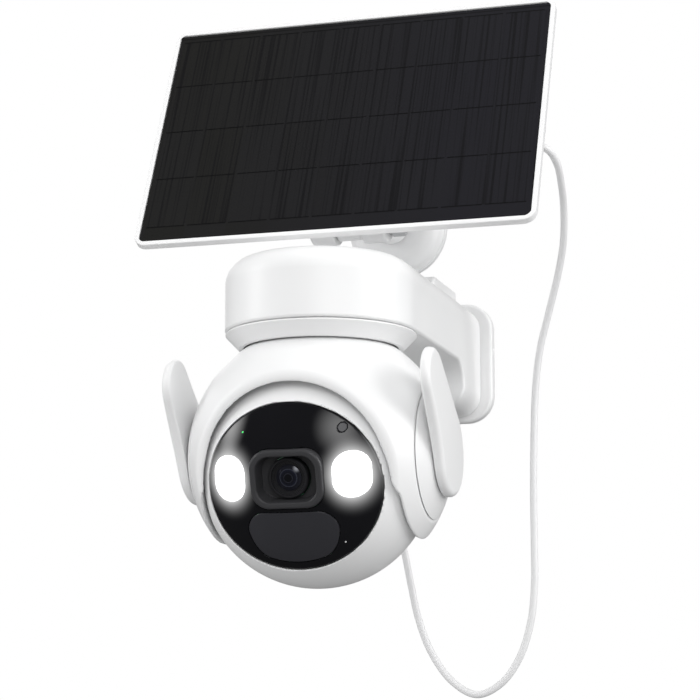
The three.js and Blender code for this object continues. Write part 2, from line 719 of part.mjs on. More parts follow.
function makeBallInsides() {
  add('main_board', box(-30, 30, -26, 14, 8, 9.6), board, head);
  const sensor = box(-6, 6, -26, -14, 22, 34);
  add('pir_sensor', sensor, steel, head);
  add('speaker', disc(13, -37, -30, 28), blackPlastic, head);
  const axisHeight = tiltGear.radius + tiltPinion.radius + gap;
  const motor = solid(turnedAboutX(discProfile(tiltMotor.radius, -tiltMotor.far, -tiltMotor.near), 26));
  const boreProfile = discProfile(tiltPinion.shaft + gap, -tiltMotor.far - 1, -tiltMotor.far + 4);
  const bore = solid(turnedAboutX(boreProfile, 14));
  add('tilt_motor', geometryOf(motor.subtract(bore)).translate(0, axisHeight, 0), steel, head);
  const end = -tiltMotor.far + 3.4;
  const profile = [
    [0, -tiltPinion.far], [tiltPinion.radius, -tiltPinion.far], [tiltPinion.radius, -tiltPinion.near],
    [tiltPinion.shaft, -tiltPinion.near], [tiltPinion.shaft, end], [0, end],
  ];
  add('tilt_pinion', turnedAboutX(profile, 18).translate(0, axisHeight, 0), acetal, head);
  for (const side of [-1, 1]) {
    const ends = [side * bush.inner, side * bush.outerX].sort((a, b) => a - b);
    const ring = turnedAboutX(tubeProfile(shaft.radius + gap, bush.outer, ...ends), 20);
    add(side < 0 ? 'tilt_bush_left' : 'tilt_bush_right', ring, acetal, head);
  }
}

function makeService() {
  const outer = solid(sphere(ball.radius + 0.4));
  const inner = solid(sphere(ball.radius - service.thick));
  const block = solid(underside(serviceShape(0), 30, far));
  add('service_plug', geometryOf(outer.subtract(inner).intersect(block)), rubber, head);
  const button = disc(1.8, 42, 46.6, 14).rotateX(rad(90 + service.angle));
  add('reset_button', button, blackPlastic, head);
}

// ---------------------------------------------------------------- solar panel
// The panel's own frame: x across, y up the panel, z out of the glass.
const sun = groupAt(0, panel.y, panel.z);
sun.rotation.x = rad(90 - panel.lean);

function makePanel() {
  const { width, height, corner, rim, laminate, edge, depth, taper } = panel;
  const lip = 0.4;
  const front = solid(extruded(centredRect(width, height, corner), -edge, lip, 4));
  const backShape = centredRect(width - 2 * taper, height - 2 * taper, corner);
  const back = solid(extruded(backShape, -depth, -edge + 0.5, 4));
  const glassWidth = width - 2 * rim;
  const glassHeight = height - 2 * rim;
  const pocketShape = centredRect(glassWidth + 2 * gap, glassHeight + 2 * gap, 3);
  const pocket = solid(extruded(pocketShape, -laminate - gap, lip + 1));
  add('panel_frame', geometryOf(front.add(back).subtract(pocket)), whitePlastic, sun);
  add('solar_laminate', extruded(centredRect(glassWidth, glassHeight, 2.7), -laminate, 0), solarCell, sun);
}

function makeJunction() {
  const { x, y, width, height, depth, corner } = junction;
  const front = -panel.depth - gap;
  const block = extruded(centredRect(width, height, corner, x, y), front - depth, front);
  add('junction_box', block, whitePlastic, sun);
  const profile = [[0, 0], [gland.radius, 0], [gland.radius, 3], [gland.tip, gland.length], [0, gland.length]];
  const sleeve = turnedAboutX(profile, 16).translate(x + width / 2 + gap, y, front - depth / 2);
  add('cable_gland', sleeve, whitePlastic, sun);
}

function makeKnuckle() {
  const { y, z, halfWidth, slot, radius, flangeThick, flangeWidth, flangeHeight } = knuckle;
  const front = -panel.depth - gap;
  const shape = new THREE.Shape();
  shape.moveTo(y + radius + 4, front);
  shape.lineTo(y + radius, z);
  shape.absarc(y, z, radius, 0, -Math.PI, true);
  shape.lineTo(y - radius, front);
  const block = solid(acrossX(shape, -halfWidth, halfWidth, 10));
  const flangeShape = centredRect(flangeWidth, flangeHeight, 6, 0, y + 6);
  const flange = solid(extruded(flangeShape, front - flangeThick, front));
  const slotBox = solid(box(-slot, slot, y - radius - 5, y + radius + 8, z - radius - 5, front - flangeThick));
  const pinHole = solid(turnedAboutX(discProfile(panelArm.pin + gap, -far, far), 18).translate(0, y, z));
  add('panel_knuckle', geometryOf(cut(block.add(flange), [slotBox, pinHole])), whitePlastic, sun);
}

// Where the panel's pivot stands in the object's frame.
const pivot = new THREE.Vector3(0, knuckle.y, knuckle.z)
  .applyEuler(new THREE.Euler(rad(90 - panel.lean), 0, 0))
  .add(new THREE.Vector3(0, panel.y, panel.z));

function makePanelMount() {
  const base = [
    [0, 0],
    [wallBase.radius, 0],
    [wallBase.radius, wallBase.rim],
    ...arcPoints(wallBase.neck + 3, wallBase.rim, wallBase.depth - wallBase.rim, 10, 90, 5),
    [0, wallBase.depth],
  ];
  const dome = turned(base, 24).rotateX(Math.PI / 2).translate(0, 0, wallBase.z);
  add('panel_wall_base', dome, whitePlastic);

  // The arm runs from the base to the pivot, and its own x axis points along it.
  const start = new THREE.Vector3(0, -wallBase.depth - gap, wallBase.z);
  const along = pivot.clone().sub(start);
  const reach = along.length();
  const group = groupAt(0, pivot.y, pivot.z);
  group.rotation.x = Math.atan2(-along.z, -along.y);
  const stop = panelArm.eye + 6;
  const neck = solid(turned([
    [0, stop - 4], [panelArm.end, stop - 4], [panelArm.end, stop + 4], [panelArm.root, reach], [0, reach],
  ], 28).rotateX(-Math.PI / 2));
  const trim = solid(box(-far, far, -far, (start.y - pivot.y) * 0.98, -far, far));
  const eyeShape = new THREE.Shape();
  eyeShape.absarc(0, 0, panelArm.eye, Math.PI / 2, 1.5 * Math.PI, false);
  eyeShape.lineTo(stop, -panelArm.end + 1);
  eyeShape.lineTo(stop, panelArm.end - 1);
  const tongue = solid(acrossX(eyeShape, -panelArm.tongue, panelArm.tongue, 8));
  const pinHole = solid(turnedAboutX(discProfile(panelArm.pin + gap, -far, far), 18));
  add('panel_arm', geometryOf(neck.intersect(trim).add(tongue).subtract(pinHole)), whitePlastic, group);

  const pinGroup = groupAt(0, pivot.y, pivot.z);
  const end = knuckle.halfWidth + gap;
  const pinProfile = [
    [0, -end - 2.4], [5.4, -end - 2.4], [5.4, -end], [panelArm.pin, -end],
    [panelArm.pin, end + 3], [0, end + 3],
  ];
  add('panel_hinge_pin', turnedAboutX(pinProfile, 20), steel, pinGroup);

  const knobShape = new THREE.Shape();
  const points = [];
  for (let i = 0; i < knob.lobes * 6; i += 1) {
    const a = (2 * Math.PI * i) / (knob.lobes * 6);
    const r = knob.radius - 0.9 + 0.9 * Math.cos(knob.lobes * a);
    points.push(new THREE.Vector2(r * Math.cos(a), r * Math.sin(a)));
  }
  knobShape.setFromPoints(points);
  const knobBody = solid(acrossX(knobShape, end + gap, end + gap + knob.thick));
  const bore = solid(turnedAboutX(discProfile(panelArm.pin + gap, end - 2, end + 3 + 2 * gap), 16));
  add('clamp_knob', geometryOf(knobBody.subtract(bore)), greyPlastic, pinGroup);
}

// ---------------------------------------------------------------- solar cable
// Hand-set route from the gland behind the panel to the plug under the leg.
const glandTip = new THREE.Vector3(
  junction.x + junction.width / 2 + gap + gland.length + gap,
  junction.y,
  -panel.depth - gap - junction.depth / 2,
).applyEuler(new THREE.Euler(rad(90 - panel.lean), 0, 0)).add(new THREE.Vector3(0, panel.y, panel.z));
const plugTip = new THREE.Vector3(0, socket.y, arm.legBottom - gap - plug.length - plug.relief - gap);

const cableRoute = [
  [glandTip.x, glandTip.y, glandTip.z],
  [88, -84.5, 84],
  [92.3, -81, 82],
  [94.6, -74, 77.5],
  [94.6, -65, 70.5],
  [93.4, -54, 61],
  [91, -44.5, 47.5],
  [86.7, -37, 33.9],
  [81, -31, 18],
  [75.6, -27, 1],
  [72.6, -24, -16],
  [71.2, -22.6, -38],
  [70.6, -22.6, -64],
  [70.6, -22.6, -90],
  [70.4, -22.6, -109],
  [68.4, -22.6, -126],
  [63, -22.6, -142],
  [54, -22.6, -154],
  [42.5, -22.6, -159],
  [31, -22.6, -153],
  [21, -22.6, -139.6],
  [14.8, -22.6, -124],
  [11, -22.6, -107],
  [7.5, -22.6, -90],
  [3, -22.6, -76],
  [0.4, -22.6, -65],
  [plugTip.x, plugTip.y, plugTip.z],
];

function makeCable() {
  const points3 = cableRoute.map((p) => new THREE.Vector3(...p));
  const curve = new THREE.CatmullRomCurve3(points3, false, 'centripetal');
  const section = new THREE.Shape();
  const points = [];
  for (let i = 0; i < cable.sides; i += 1) {
    const a = (2 * Math.PI * i) / cable.sides;
    points.push(new THREE.Vector2(cable.radius * Math.cos(a), cable.radius * Math.sin(a)));
  }
  section.setFromPoints(points);
  const options = { steps: cable.steps, extrudePath: curve, bevelEnabled: false };
  const tubeShape = new THREE.ExtrudeGeometry(section, options);
  add('solar_cable', tubeShape, jacket);
}

// ---------------------------------------------------------------- assembly
makeWallPlate();
makeArmHousing();
makeBatteryCover();
makeBaseRing();
makeChassis();
makeBaseScrews();
makePanDrive();
makePowerPack();
makeInlet();
makeTurntable();
makeYoke();
makeAntennas();
makeTiltShafts();
makeBall();
makeBallScrews();
makeFace();
makeLens();
makeBallInsides();
makeService();
makePanel();
makeJunction();
makeKnuckle();
makePanelMount();
makeCable();

export default camera;
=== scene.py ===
import json
import math
import bpy
import numpy as np
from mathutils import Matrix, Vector


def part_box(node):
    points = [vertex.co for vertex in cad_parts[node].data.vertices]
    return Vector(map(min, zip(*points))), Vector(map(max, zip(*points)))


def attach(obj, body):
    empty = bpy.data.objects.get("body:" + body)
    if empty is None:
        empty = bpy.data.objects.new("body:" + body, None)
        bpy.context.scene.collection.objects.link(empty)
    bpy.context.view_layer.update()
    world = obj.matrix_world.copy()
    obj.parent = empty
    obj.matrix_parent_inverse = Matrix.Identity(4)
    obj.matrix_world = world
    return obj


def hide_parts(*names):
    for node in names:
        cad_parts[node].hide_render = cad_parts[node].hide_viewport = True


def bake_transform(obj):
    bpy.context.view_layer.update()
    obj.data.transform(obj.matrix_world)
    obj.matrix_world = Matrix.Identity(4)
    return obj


# Solar-powered pan and tilt camera on its arm, with its own solar panel and cable.
# The settings are in millimetres; meshes are turned into metres as they are made.

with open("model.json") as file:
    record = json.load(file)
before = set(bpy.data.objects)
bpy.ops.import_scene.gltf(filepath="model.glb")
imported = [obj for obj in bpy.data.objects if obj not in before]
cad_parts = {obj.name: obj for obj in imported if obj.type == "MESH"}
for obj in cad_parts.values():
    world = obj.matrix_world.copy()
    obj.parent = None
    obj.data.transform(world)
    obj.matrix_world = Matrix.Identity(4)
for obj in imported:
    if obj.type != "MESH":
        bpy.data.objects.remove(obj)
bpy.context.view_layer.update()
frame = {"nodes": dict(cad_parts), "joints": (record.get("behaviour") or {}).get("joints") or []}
toMetres = 0.001
print("frame loaded with", len(frame["nodes"]), "nodes")


def nodeBox(name):
    low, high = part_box(name)
    return np.array(low) / toMetres, np.array(high) / toMetres


def jointPlace(name):
    joint = next(j for j in frame["joints"] if j["name"] == name)
    return np.array(joint["pos_m"]) / toMetres


panAxis = jointPlace("pan")
yokeCentre = np.array([0.0, panAxis[1], jointPlace("left_antenna_fold")[2]])
ballCentre = jointPlace("tilt")
panelPivot = jointPlace("panel_tilt")
armLow, armHigh = nodeBox("arm_housing")
ringLow, ringHigh = nodeBox("base_ring")
plateLow, plateHigh = nodeBox("wall_plate")


# A place is a point and three axes, so that a piece is drawn square and set down leaning.
class Place:
    def __init__(self, origin, lean=0.0, axes=None):
        self.origin = np.array(origin, float)
        c, s = math.cos(math.radians(lean)), math.sin(math.radians(lean))
        turn = np.array([[1, 0, 0], [0, c, s], [0, -s, c]])
        self.axes = turn if axes is None else np.array(axes, float)

    def out(self, points):
        return self.origin + np.asarray(points) @ self.axes

    def turned(self, vectors):
        return np.asarray(vectors) @ self.axes


world = Place((0, 0, 0))
acrossAxes = [[0, 1, 0], [0, 0, 1], [1, 0, 0]]  # draws in Y and Z, and builds along X
frontAxes = [[1, 0, 0], [0, 0, 1], [0, -1, 0]]  # draws in X and Z, and builds towards the front


# Fills a node's sockets, each with a value or with what feeds it.
def fill(node, sockets):
    for key, value in sockets.items():
        if isinstance(value, bpy.types.NodeSocket):
            node.id_data.links.new(value, node.inputs[key])
        else:
            node.inputs[key].default_value = value


def addNode(tree, kind, sockets=None, **settings):
    node = tree.nodes.new(kind)
    for key, value in settings.items():
        setattr(node, key, value)
    fill(node, sockets or {})
    return node


def maths(tree, kind, *inputs):
    return addNode(tree, "ShaderNodeMath", dict(enumerate(inputs)), operation=kind).outputs[0]


def vectorMaths(tree, kind, *inputs):
    made = addNode(tree, "ShaderNodeVectorMath", dict(enumerate(inputs)), operation=kind).outputs
    return made["Value" if kind in ("LENGTH", "DOT_PRODUCT") else "Vector"]


def mapped(tree, source, low, high, fromLow=0.0, fromHigh=1.0, **settings):
    sockets = {"Value": source, "From Min": fromLow, "From Max": fromHigh, "To Min": low, "To Max": high}
    return addNode(tree, "ShaderNodeMapRange", sockets, **settings).outputs["Result"]


def rgb(r, g, b):
    return (r, g, b, 1)


# Camera and light.
cameraSettings = {
    "azimuth": 16.73, "elevation": -10.1, "distance": 1000.0, "aside": 12.56, "above": -6.76, "lens": 117.9,
    "sensor": 36.0, "clip": (0.05, 50.0), "aimBelowRing": 4.0,
}


def makeCamera(s):
    a, e = math.radians(s["azimuth"]), math.radians(s["elevation"])
    back = np.array([math.sin(a) * math.cos(e), -math.cos(a) * math.cos(e), math.sin(e)])
    right = np.array([math.cos(a), math.sin(a), 0])
    up = np.cross(back, right)
    target = np.array([0.0, panAxis[1], ringHigh[2] - s["aimBelowRing"]])
    spot = target + back * s["distance"] + right * s["aside"] + up * s["above"]
    data = bpy.data.cameras.new("camera")
    data.lens, data.sensor_width = s["lens"], s["sensor"]
    data.clip_start, data.clip_end = s["clip"]
    lookout = bpy.data.objects.new("camera", data)
    lookout.location = spot * toMetres
    lookout.rotation_euler = Vector(-back).to_track_quat("-Z", "Y").to_euler()
    bpy.context.scene.collection.objects.link(lookout)
    bpy.context.scene.camera = lookout


lightSettings = {
    "below": 0.34, "above": 0.98, "from": (-0.25, -0.45, 0.86), "mirrored": 0.07, "backdrop": 1.0,
    "aim": (0, -0.12, 0), "fadeStart": 2.4,
    "softboxes": {  # place, size, power, and whether it fades towards its edges
        "key_softbox": ((0.76, -1.95, 0.6), (1.6, 1.8), 15, True),
        "left_softbox": ((-2.0, -1.0, 0.7), (1.2, 1.8), 19, True),
        "right_softbox": ((2.1, -0.1, 0.7), (1.0, 1.6), 25, False),
        "top_softbox": ((0.1, -0.2, 1.9), (1.4, 1.2), 2, False),
        "back_softbox": ((-0.9, 1.8, 0.9), (1.2, 1.2), 6, False),
    },
}


def makeSoftbox(name, spot, size, power, fades, s):
    data = bpy.data.lights.new(name, "AREA")
    data.shape, data.size, data.size_y, data.energy = "RECTANGLE", size[0], size[1], power
    lamp = bpy.data.objects.new(name, data)
    lamp.location = spot
    lamp.rotation_euler = (Vector(s["aim"]) - Vector(spot)).to_track_quat("-Z", "Y").to_euler()
    bpy.context.scene.collection.objects.link(lamp)
    if fades:  # so that its reflection has no hard outline
        data.use_nodes = True
        tree = data.node_tree
        across = addNode(tree, "ShaderNodeNewGeometry").outputs["Parametric"]
        centred = vectorMaths(tree, "SUBTRACT", across, (0.5, 0.5, 0))
        far = vectorMaths(tree, "LENGTH", vectorMaths(tree, "MULTIPLY", centred, (1, 1, 0)))
        fade = mapped(tree, far, s["fadeStart"], 0.0, 0.0, 0.5, interpolation_type="SMOOTHSTEP")
        fill(tree.nodes["Emission"], {"Strength": fade})


def makeLight(s):
    for name, box in s["softboxes"].items():
        makeSoftbox(name, *box, s)
    studio = bpy.data.worlds.new("studio")
    bpy.context.scene.world = studio
    studio.use_nodes = True
    tree = studio.node_tree
    tree.nodes.clear()
    path = addNode(tree, "ShaderNodeLightPath").outputs
    towards = addNode(tree, "ShaderNodeTexCoord").outputs["Generated"]
    sky = mapped(tree, vectorMaths(tree, "DOT_PRODUCT", towards, s["from"]), s["below"], s["above"], -1.0)
    level = mapped(tree, path["Is Glossy Ray"], sky, s["mirrored"])
    lit = addNode(tree, "ShaderNodeBackground", {"Color": rgb(1, 1, 1), "Strength": level})
    seen = addNode(tree, "ShaderNodeBackground", {"Color": rgb(1, 1, 1), "Strength": s["backdrop"]})
    mix = addNode(tree, "ShaderNodeMixShader",
                  {0: path["Is Camera Ray"], 1: lit.outputs[0], 2: seen.outputs[0]})
    addNode(tree, "ShaderNodeOutputWorld", {"Surface": mix.outputs[0]})
    bpy.context.scene.view_settings.view_transform = "Standard"


makeCamera(cameraSettings)
makeLight(lightSettings)
print("camera and light")


# Shading.
def makeMaterial(name, roughness=0.5, metallic=0.0):
    material = bpy.data.materials.new(name)
    material.use_nodes = True
    tree = material.node_tree
    shader = tree.nodes["Principled BSDF"]
    fill(shader, {"Roughness": roughness, "Metallic": metallic})
    return material, tree, shader, addNode(tree, "ShaderNodeTexCoord").outputs["Object"]


# A shader group: inputs with a value are numbers, and those without are places.
def makeGroup(name, inputs, outputs):
    tree = bpy.data.node_groups.new(name, "ShaderNodeTree")
    for label, value in inputs.items():
        kind = "NodeSocketVector" if value is None else "NodeSocketFloat"
        socket = tree.interface.new_socket(label, in_out="INPUT", socket_type=kind)
        if value is not None:
            socket.default_value = value
    for label in outputs:
        tree.interface.new_socket(label, in_out="OUTPUT", socket_type="NodeSocketFloat")
    return tree, addNode(tree, "NodeGroupInput").outputs, addNode(tree, "NodeGroupOutput")


def noise(tree, place, scale, detail, **more):
    return addNode(tree, "ShaderNodeTexNoise", {"Vector": place, "Scale": scale, "Detail": detail,
                                                **more}).outputs


# Fine texture of a mould, with slow drifts of tone and gloss.
def makeMouldedGroup():
    tree, given, made = makeGroup("moulded surface", {"Place": None, "Grain": 4200.0, "Drift": 24.0},
                                  ["Height", "Tone", "Gloss"])
    grain = noise(tree, given["Place"], given["Grain"], 3.0, Roughness=0.6)["Fac"]
    drift = noise(tree, given["Place"], given["Drift"], 4.0, Roughness=0.55)["Fac"]
    fill(made, {"Height": grain, "Tone": drift, "Gloss": maths(tree, "MULTIPLY_ADD", grain, 0.5, drift)})
    return tree


# Sparse hair-fine scratches.
def makeScratchGroup():
    tree, given, made = makeGroup("fine scratches", {"Place": None, "Scale": 60.0}, ["Mark"])
    bend = noise(tree, given["Place"], 18.0, 1.0)["Color"]
    bent = vectorMaths(tree, "ADD", given["Place"], bend)
    edges = addNode(tree, "ShaderNodeTexVoronoi", {"Randomness": 1.0, "Vector": bent,
                                                   "Scale": given["Scale"]},
                    feature="DISTANCE_TO_EDGE").outputs["Distance"]
    fill(made, {"Mark": mapped(tree, edges, 1.0, 0.0, 0.0, 0.006)})
    return tree


mouldedGroup = makeMouldedGroup()
scratchGroup = makeScratchGroup()


def useGroup(tree, group, place, **values):
    return addNode(tree, "ShaderNodeGroup", {"Place": place, **values}, node_tree=group).outputs


def blendColours(tree, factor, first, second):
    return addNode(tree, "ShaderNodeMix", {0: factor, 6: first, 7: second}, data_type="RGBA").outputs[2]


def bumped(tree, shader, height, depth):
    bump = addNode(tree, "ShaderNodeBump", {"Strength": 0.5, "Distance": depth, "Height": height})
    fill(shader, {"Normal": bump.outputs[0]})


# Moulded plastic and rubber: two near tones, a gloss that drifts and a fine grain.
def plasticMaterial(name, first, second, gloss, grain=4200.0, depth=0.00002, sheen=0.0, coat=0.0):
    material, tree, shader, place = makeMaterial(name)
    surface = useGroup(tree, mouldedGroup, place, Grain=grain)
    fill(shader, {
        "Base Color": blendColours(tree, surface["Tone"], rgb(*first), rgb(*second)),
        "Roughness": mapped(tree, surface["Gloss"], gloss - 0.05, gloss + 0.05, 0.4, 1.1),
        "Sheen Weight": sheen, "Coat Weight": coat,
    })
    bumped(tree, shader, surface["Height"], depth)
    return material


def metalMaterial(name, first, second, gloss):
    material, tree, shader, place = makeMaterial(name, metallic=1.0)
    stretched = addNode(tree, "ShaderNodeMapping", {"Vector": place, "Scale": (1, 1, 14)}).outputs[0]
    surface = useGroup(tree, mouldedGroup, stretched, Grain=900.0, Drift=60.0)
    scratch = useGroup(tree, scratchGroup, place, Scale=300.0)["Mark"]
    sheen = mapped(tree, surface["Gloss"], gloss - 0.08, gloss + 0.1, 0.4, 1.1)
    fill(shader, {
        "Base Color": blendColours(tree, surface["Tone"], rgb(*first), rgb(*second)),
        "Roughness": maths(tree, "MULTIPLY_ADD", scratch, 0.1, sheen),
    })
    bumped(tree, shader, surface["Height"], 0.00003)
    return material


whitePlastic = plasticMaterial("white_moulded_plastic", (0.84, 0.845, 0.85), (0.88, 0.88, 0.88), 0.36)
whiteGloss = plasticMaterial("white_smooth_rim", (0.86, 0.86, 0.865), (0.9, 0.9, 0.9), 0.26, 6000.0, 0.00001)
greyPlastic = plasticMaterial("grey_moulded_plastic", (0.5, 0.51, 0.52), (0.56, 0.57, 0.58), 0.45)
blackPlastic = plasticMaterial("black_satin_plastic", (0.014, 0.014, 0.016), (0.022, 0.022, 0.025), 0.38)
hoodPlastic = plasticMaterial("dark_hood_plastic", (0.035, 0.035, 0.038), (0.05, 0.05, 0.054), 0.42, 5200.0)
gearPlastic = plasticMaterial("gear_acetal", (0.74, 0.72, 0.65), (0.8, 0.78, 0.71), 0.42)
cableJacket = plasticMaterial("cable_jacket", (0.79, 0.79, 0.8), (0.83, 0.83, 0.83), 0.4, 5200.0, 0.000008)
softRubber = plasticMaterial("soft_rubber", (0.74, 0.74, 0.74), (0.8, 0.8, 0.8), 0.62, 3200.0, 0.00004, 0.2)
steel = metalMaterial("zinc_plated_steel", (0.6, 0.61, 0.63), (0.72, 0.72, 0.73), 0.3)
motorCan = metalMaterial("motor_can", (0.5, 0.51, 0.53), (0.62, 0.62, 0.63), 0.38)
windowPlastic = plasticMaterial("sensor_window", (0.027, 0.027, 0.032), (0.036, 0.036, 0.042), 0.3, 5200.0,
                                0.000015)
cellWrap = plasticMaterial("cell_wrap", (0.03, 0.16, 0.42), (0.04, 0.2, 0.5), 0.3, 1500.0, coat=0.4)


def makeBoardMaterial():
    material, tree, shader, place = makeMaterial("circuit_board", 0.4)
    surface = useGroup(tree, mouldedGroup, place, Grain=1500.0, Drift=200.0)
    tracks = addNode(tree, "ShaderNodeTexBrick", {"Scale": 260.0, "Mortar Size": 0.03, "Vector": place})
    tracks = tracks.outputs["Fac"]
    green = blendColours(tree, surface["Tone"], rgb(0.01, 0.12, 0.05), rgb(0.02, 0.2, 0.08))
    fill(shader, {"Base Color": blendColours(tree, tracks, green, rgb(0.05, 0.32, 0.14))})
    bumped(tree, shader, tracks, 0.00005)
    return material


circuitBoard = makeBoardMaterial()


# Solid pieces from distances.
def parts(p):
    return p[..., 0], p[..., 1], p[..., 2]


def rectDistance(x, y, halfX, halfY, corner):
    qx, qy = np.abs(x) - halfX + corner, np.abs(y) - halfY + corner
    return np.hypot(np.maximum(qx, 0), np.maximum(qy, 0)) + np.minimum(np.maximum(qx, qy), 0) - corner


# The same for a piece's settings, grown all round.
def sizedRect(x, y, s, grow=0.0):
    return rectDistance(x, y, s["width"] / 2 + grow, s["height"] / 2 + grow, s["corner"] + grow)


# Signed distance from a closed outline of straight steps.
def outlineDistance(x, y, outline):
    best, inside = np.full(x.shape, 1e9), np.zeros(x.shape, bool)
    for (ax, ay), (bx, by) in zip(outline, np.roll(outline, -1, axis=0)):
        ex, ey = bx - ax, by - ay
        share = np.clip(((x - ax) * ex + (y - ay) * ey) / (ex * ex + ey * ey), 0, 1)
        best = np.minimum(best, np.hypot(x - ax - share * ex, y - ay - share * ey))
        if ay != by:
            inside ^= ((ay > y) != (by > y)) & (x < ex * (y - ay) / ey + ax)
    return np.where(inside, -best, best)


def ellipseDistance(x, y, a, b):
    near = np.hypot(x / a, y / b) + 1e-9
    return near * (near - 1) / (np.hypot(x / a**2, y / b**2) + 1e-9)


# Where both hold, with the edge between them rounded.
def meet(first, second, edge=0.01):
    u, v = np.maximum(edge + first, 0), np.maximum(edge + second, 0)
    return np.minimum(-edge, np.maximum(first, second)) + np.hypot(u, v)


def join(first, second, edge=0.01):
    return -meet(-first, -second, edge)


def cut(body, tool, edge=0.01):
    return meet(body, -tool, edge)


def slope(field, points, width=0.02):
    sides = []
    for axis in range(3):
        step = np.zeros(3)
        step[axis] = width
        sides.append(field(points + step) - field(points - step))
    vectors = np.stack(sides, -1)
    return vectors / np.maximum(np.linalg.norm(vectors, axis=-1, keepdims=True), 1e-9)


cellCorners = np.array([[i, j, k] for i in (0, 1) for j in (0, 1) for k in (0, 1)])
cellEdges = [(a, b) for a in range(8) for b in range(a + 1, 8)
             if np.abs(cellCorners[a] - cellCorners[b]).sum() == 1]


# Values of the field on a grid, worked out only in the blocks that the surface passes through.
def sampleField(field, low, step, counts, block=8):
    spans = [-(-(n - 1) // block) for n in counts]
    values = np.empty([n * block + 1 for n in spans], np.float32)
    coarse = np.stack(np.meshgrid(*[np.arange(n) for n in spans], indexing="ij"), -1).reshape(-1, 3)
    middle = field(low + (coarse + 0.5) * block * step)
    reach = block * step * math.sqrt(3) + step  # a whole diagonal, as some fields grow fast
    for (i, j, k), value in zip(coarse * block, middle):
        values[i:i + block + 1, j:j + block + 1, k:k + block + 1] = value
    near = coarse[np.abs(middle) < reach] * block
    inner = np.stack(np.meshgrid(*[np.arange(block + 1)] * 3, indexing="ij"), -1).reshape(-1, 3)
    for start in range(0, len(near), 200):
        corners = near[start:start + 200]
        spots = corners[:, None, :] + inner[None]
        found = field(low + spots.reshape(-1, 3) * step)
        at = spots.reshape(-1, 3)
        values[at[:, 0], at[:, 1], at[:, 2]] = found
    return values


def surfaceMesh(field, low, high, step):
    low = np.array(low, float) - 1.5 * step
    counts = [int(math.ceil((h + 1.5 * step - l) / step)) + 1 for l, h in zip(low, high)]
    values = sampleField(field, low, step, counts)
    inside = values < 0
    shape = [n - 1 for n in values.shape]
    total = np.zeros(shape, np.uint8)
    for i, j, k in cellCorners:
        total += inside[i:i + shape[0], j:j + shape[1], k:k + shape[2]]
    crossed = (total > 0) & (total < 8)
    cells = np.argwhere(crossed)
    index = np.full(shape, -1, np.int64)
    index[crossed] = np.arange(len(cells))
    corner = np.stack([values[tuple((cells + c).T)] for c in cellCorners], -1).astype(float)
    spot, hits = np.zeros((len(cells), 3)), np.zeros(len(cells))
    for a, b in cellEdges:
        split = (corner[:, a] < 0) != (corner[:, b] < 0)
        share = np.where(split, corner[:, a] / np.where(split, corner[:, a] - corner[:, b], 1), 0)
        spot += split[:, None] * (cellCorners[a] + share[:, None] * (cellCorners[b] - cellCorners[a]))
        hits += split
    points = low + (cells + spot / hits[:, None]) * step
    for _ in range(3):
        points -= np.clip(field(points), -step, step)[:, None] * slope(field, points)
    quads = []
    for axis in range(3):
        others = [n for n in range(3) if n != axis]
        here = [slice(0, n) for n in shape]
        for n in others:
            here[n] = slice(1, shape[n])
        after = [slice(s.start, s.stop) for s in here]
        after[axis] = slice(1, shape[axis] + 1)
        first, second = inside[tuple(here)], inside[tuple(after)]
        spots = np.argwhere(first != second) + [s.start for s in here]
        down = first[first != second]
        ring = []
        for du, dv in ((1, 1), (0, 1), (0, 0), (1, 0)):
            at = spots.copy()
            at[:, others[0]] -= du
            at[:, others[1]] -= dv
            ring.append(index[tuple(at.T)])
        ring = np.stack(ring, -1)
        flip = down if axis != 1 else ~down
        ring[~flip] = ring[~flip][:, ::-1]
        quads.append(ring)
    return points, np.concatenate(quads), slope(field, points)


def makeObject(name, points, faces, material, place=world):
    mesh = bpy.data.meshes.new(name)
    mesh.from_pydata((place.out(points) * toMetres).tolist(), [], [list(f) for f in faces])
    mesh.validate()
    mesh.shade_smooth()
    mesh.materials.append(material)
    if len(mesh.vertices) == len(points):
        spots = mesh.attributes.new("spot", "FLOAT_VECTOR", "POINT")
        spots.data.foreach_set("vector", (np.asarray(points, float) * toMetres).ravel())
    piece = bpy.data.objects.new(name, mesh)
    bpy.context.scene.collection.objects.link(piece)
    return piece


def settle(piece, body, slot=None, *nodes):
    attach(piece, body)
    if nodes:
        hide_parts(*nodes)


# A piece whose surface is where field is 0, drawn in its own place.
def carved(name, field, low, high, step, material, place=world):
    points, quads, normals = surfaceMesh(field, low, high, step)
    if np.linalg.det(place.axes) < 0:  # a mirrored place turns the faces inside out
        quads = quads[:, ::-1]
    piece = makeObject(name, points, quads.tolist(), material, place)
    piece.data.normals_split_custom_set_from_vertices(place.turned(normals).tolist())
    return piece


# A carved piece in white plastic, which stands for one CAD node.
def whiteMoulding(name, body, node, field, low, high, step, place=world):
    settle(carved(name, field, low, high, step, whitePlastic, place), body, "white_plastic", node)


# Pieces from outlines and profiles.
def arc(cx, cy, radius, start, end, steps=6):
    turn = np.radians(np.linspace(start, end, steps + 1))
    return [(cx + radius * math.cos(t), cy + radius * math.sin(t)) for t in turn]


def rectOutline(width, height, corner, steps=9):
    def outline(inset):
        w, h, r = width / 2 - inset, height / 2 - inset, max(corner - inset, 0.05)
        points = []
        for sx, sy, start in ((1, 1, 0), (-1, 1, 90), (-1, -1, 180), (1, -1, 270)):
            points += arc(sx * (w - r), sy * (h - r), r, start, start + 90, steps)
        return np.array(points)
    return outline


def roundOutline(steps=96):
    turn = np.arange(steps) * 2 * math.pi / steps
    ring = np.stack([np.cos(turn), np.sin(turn)], -1)
    return lambda radius: ring * radius


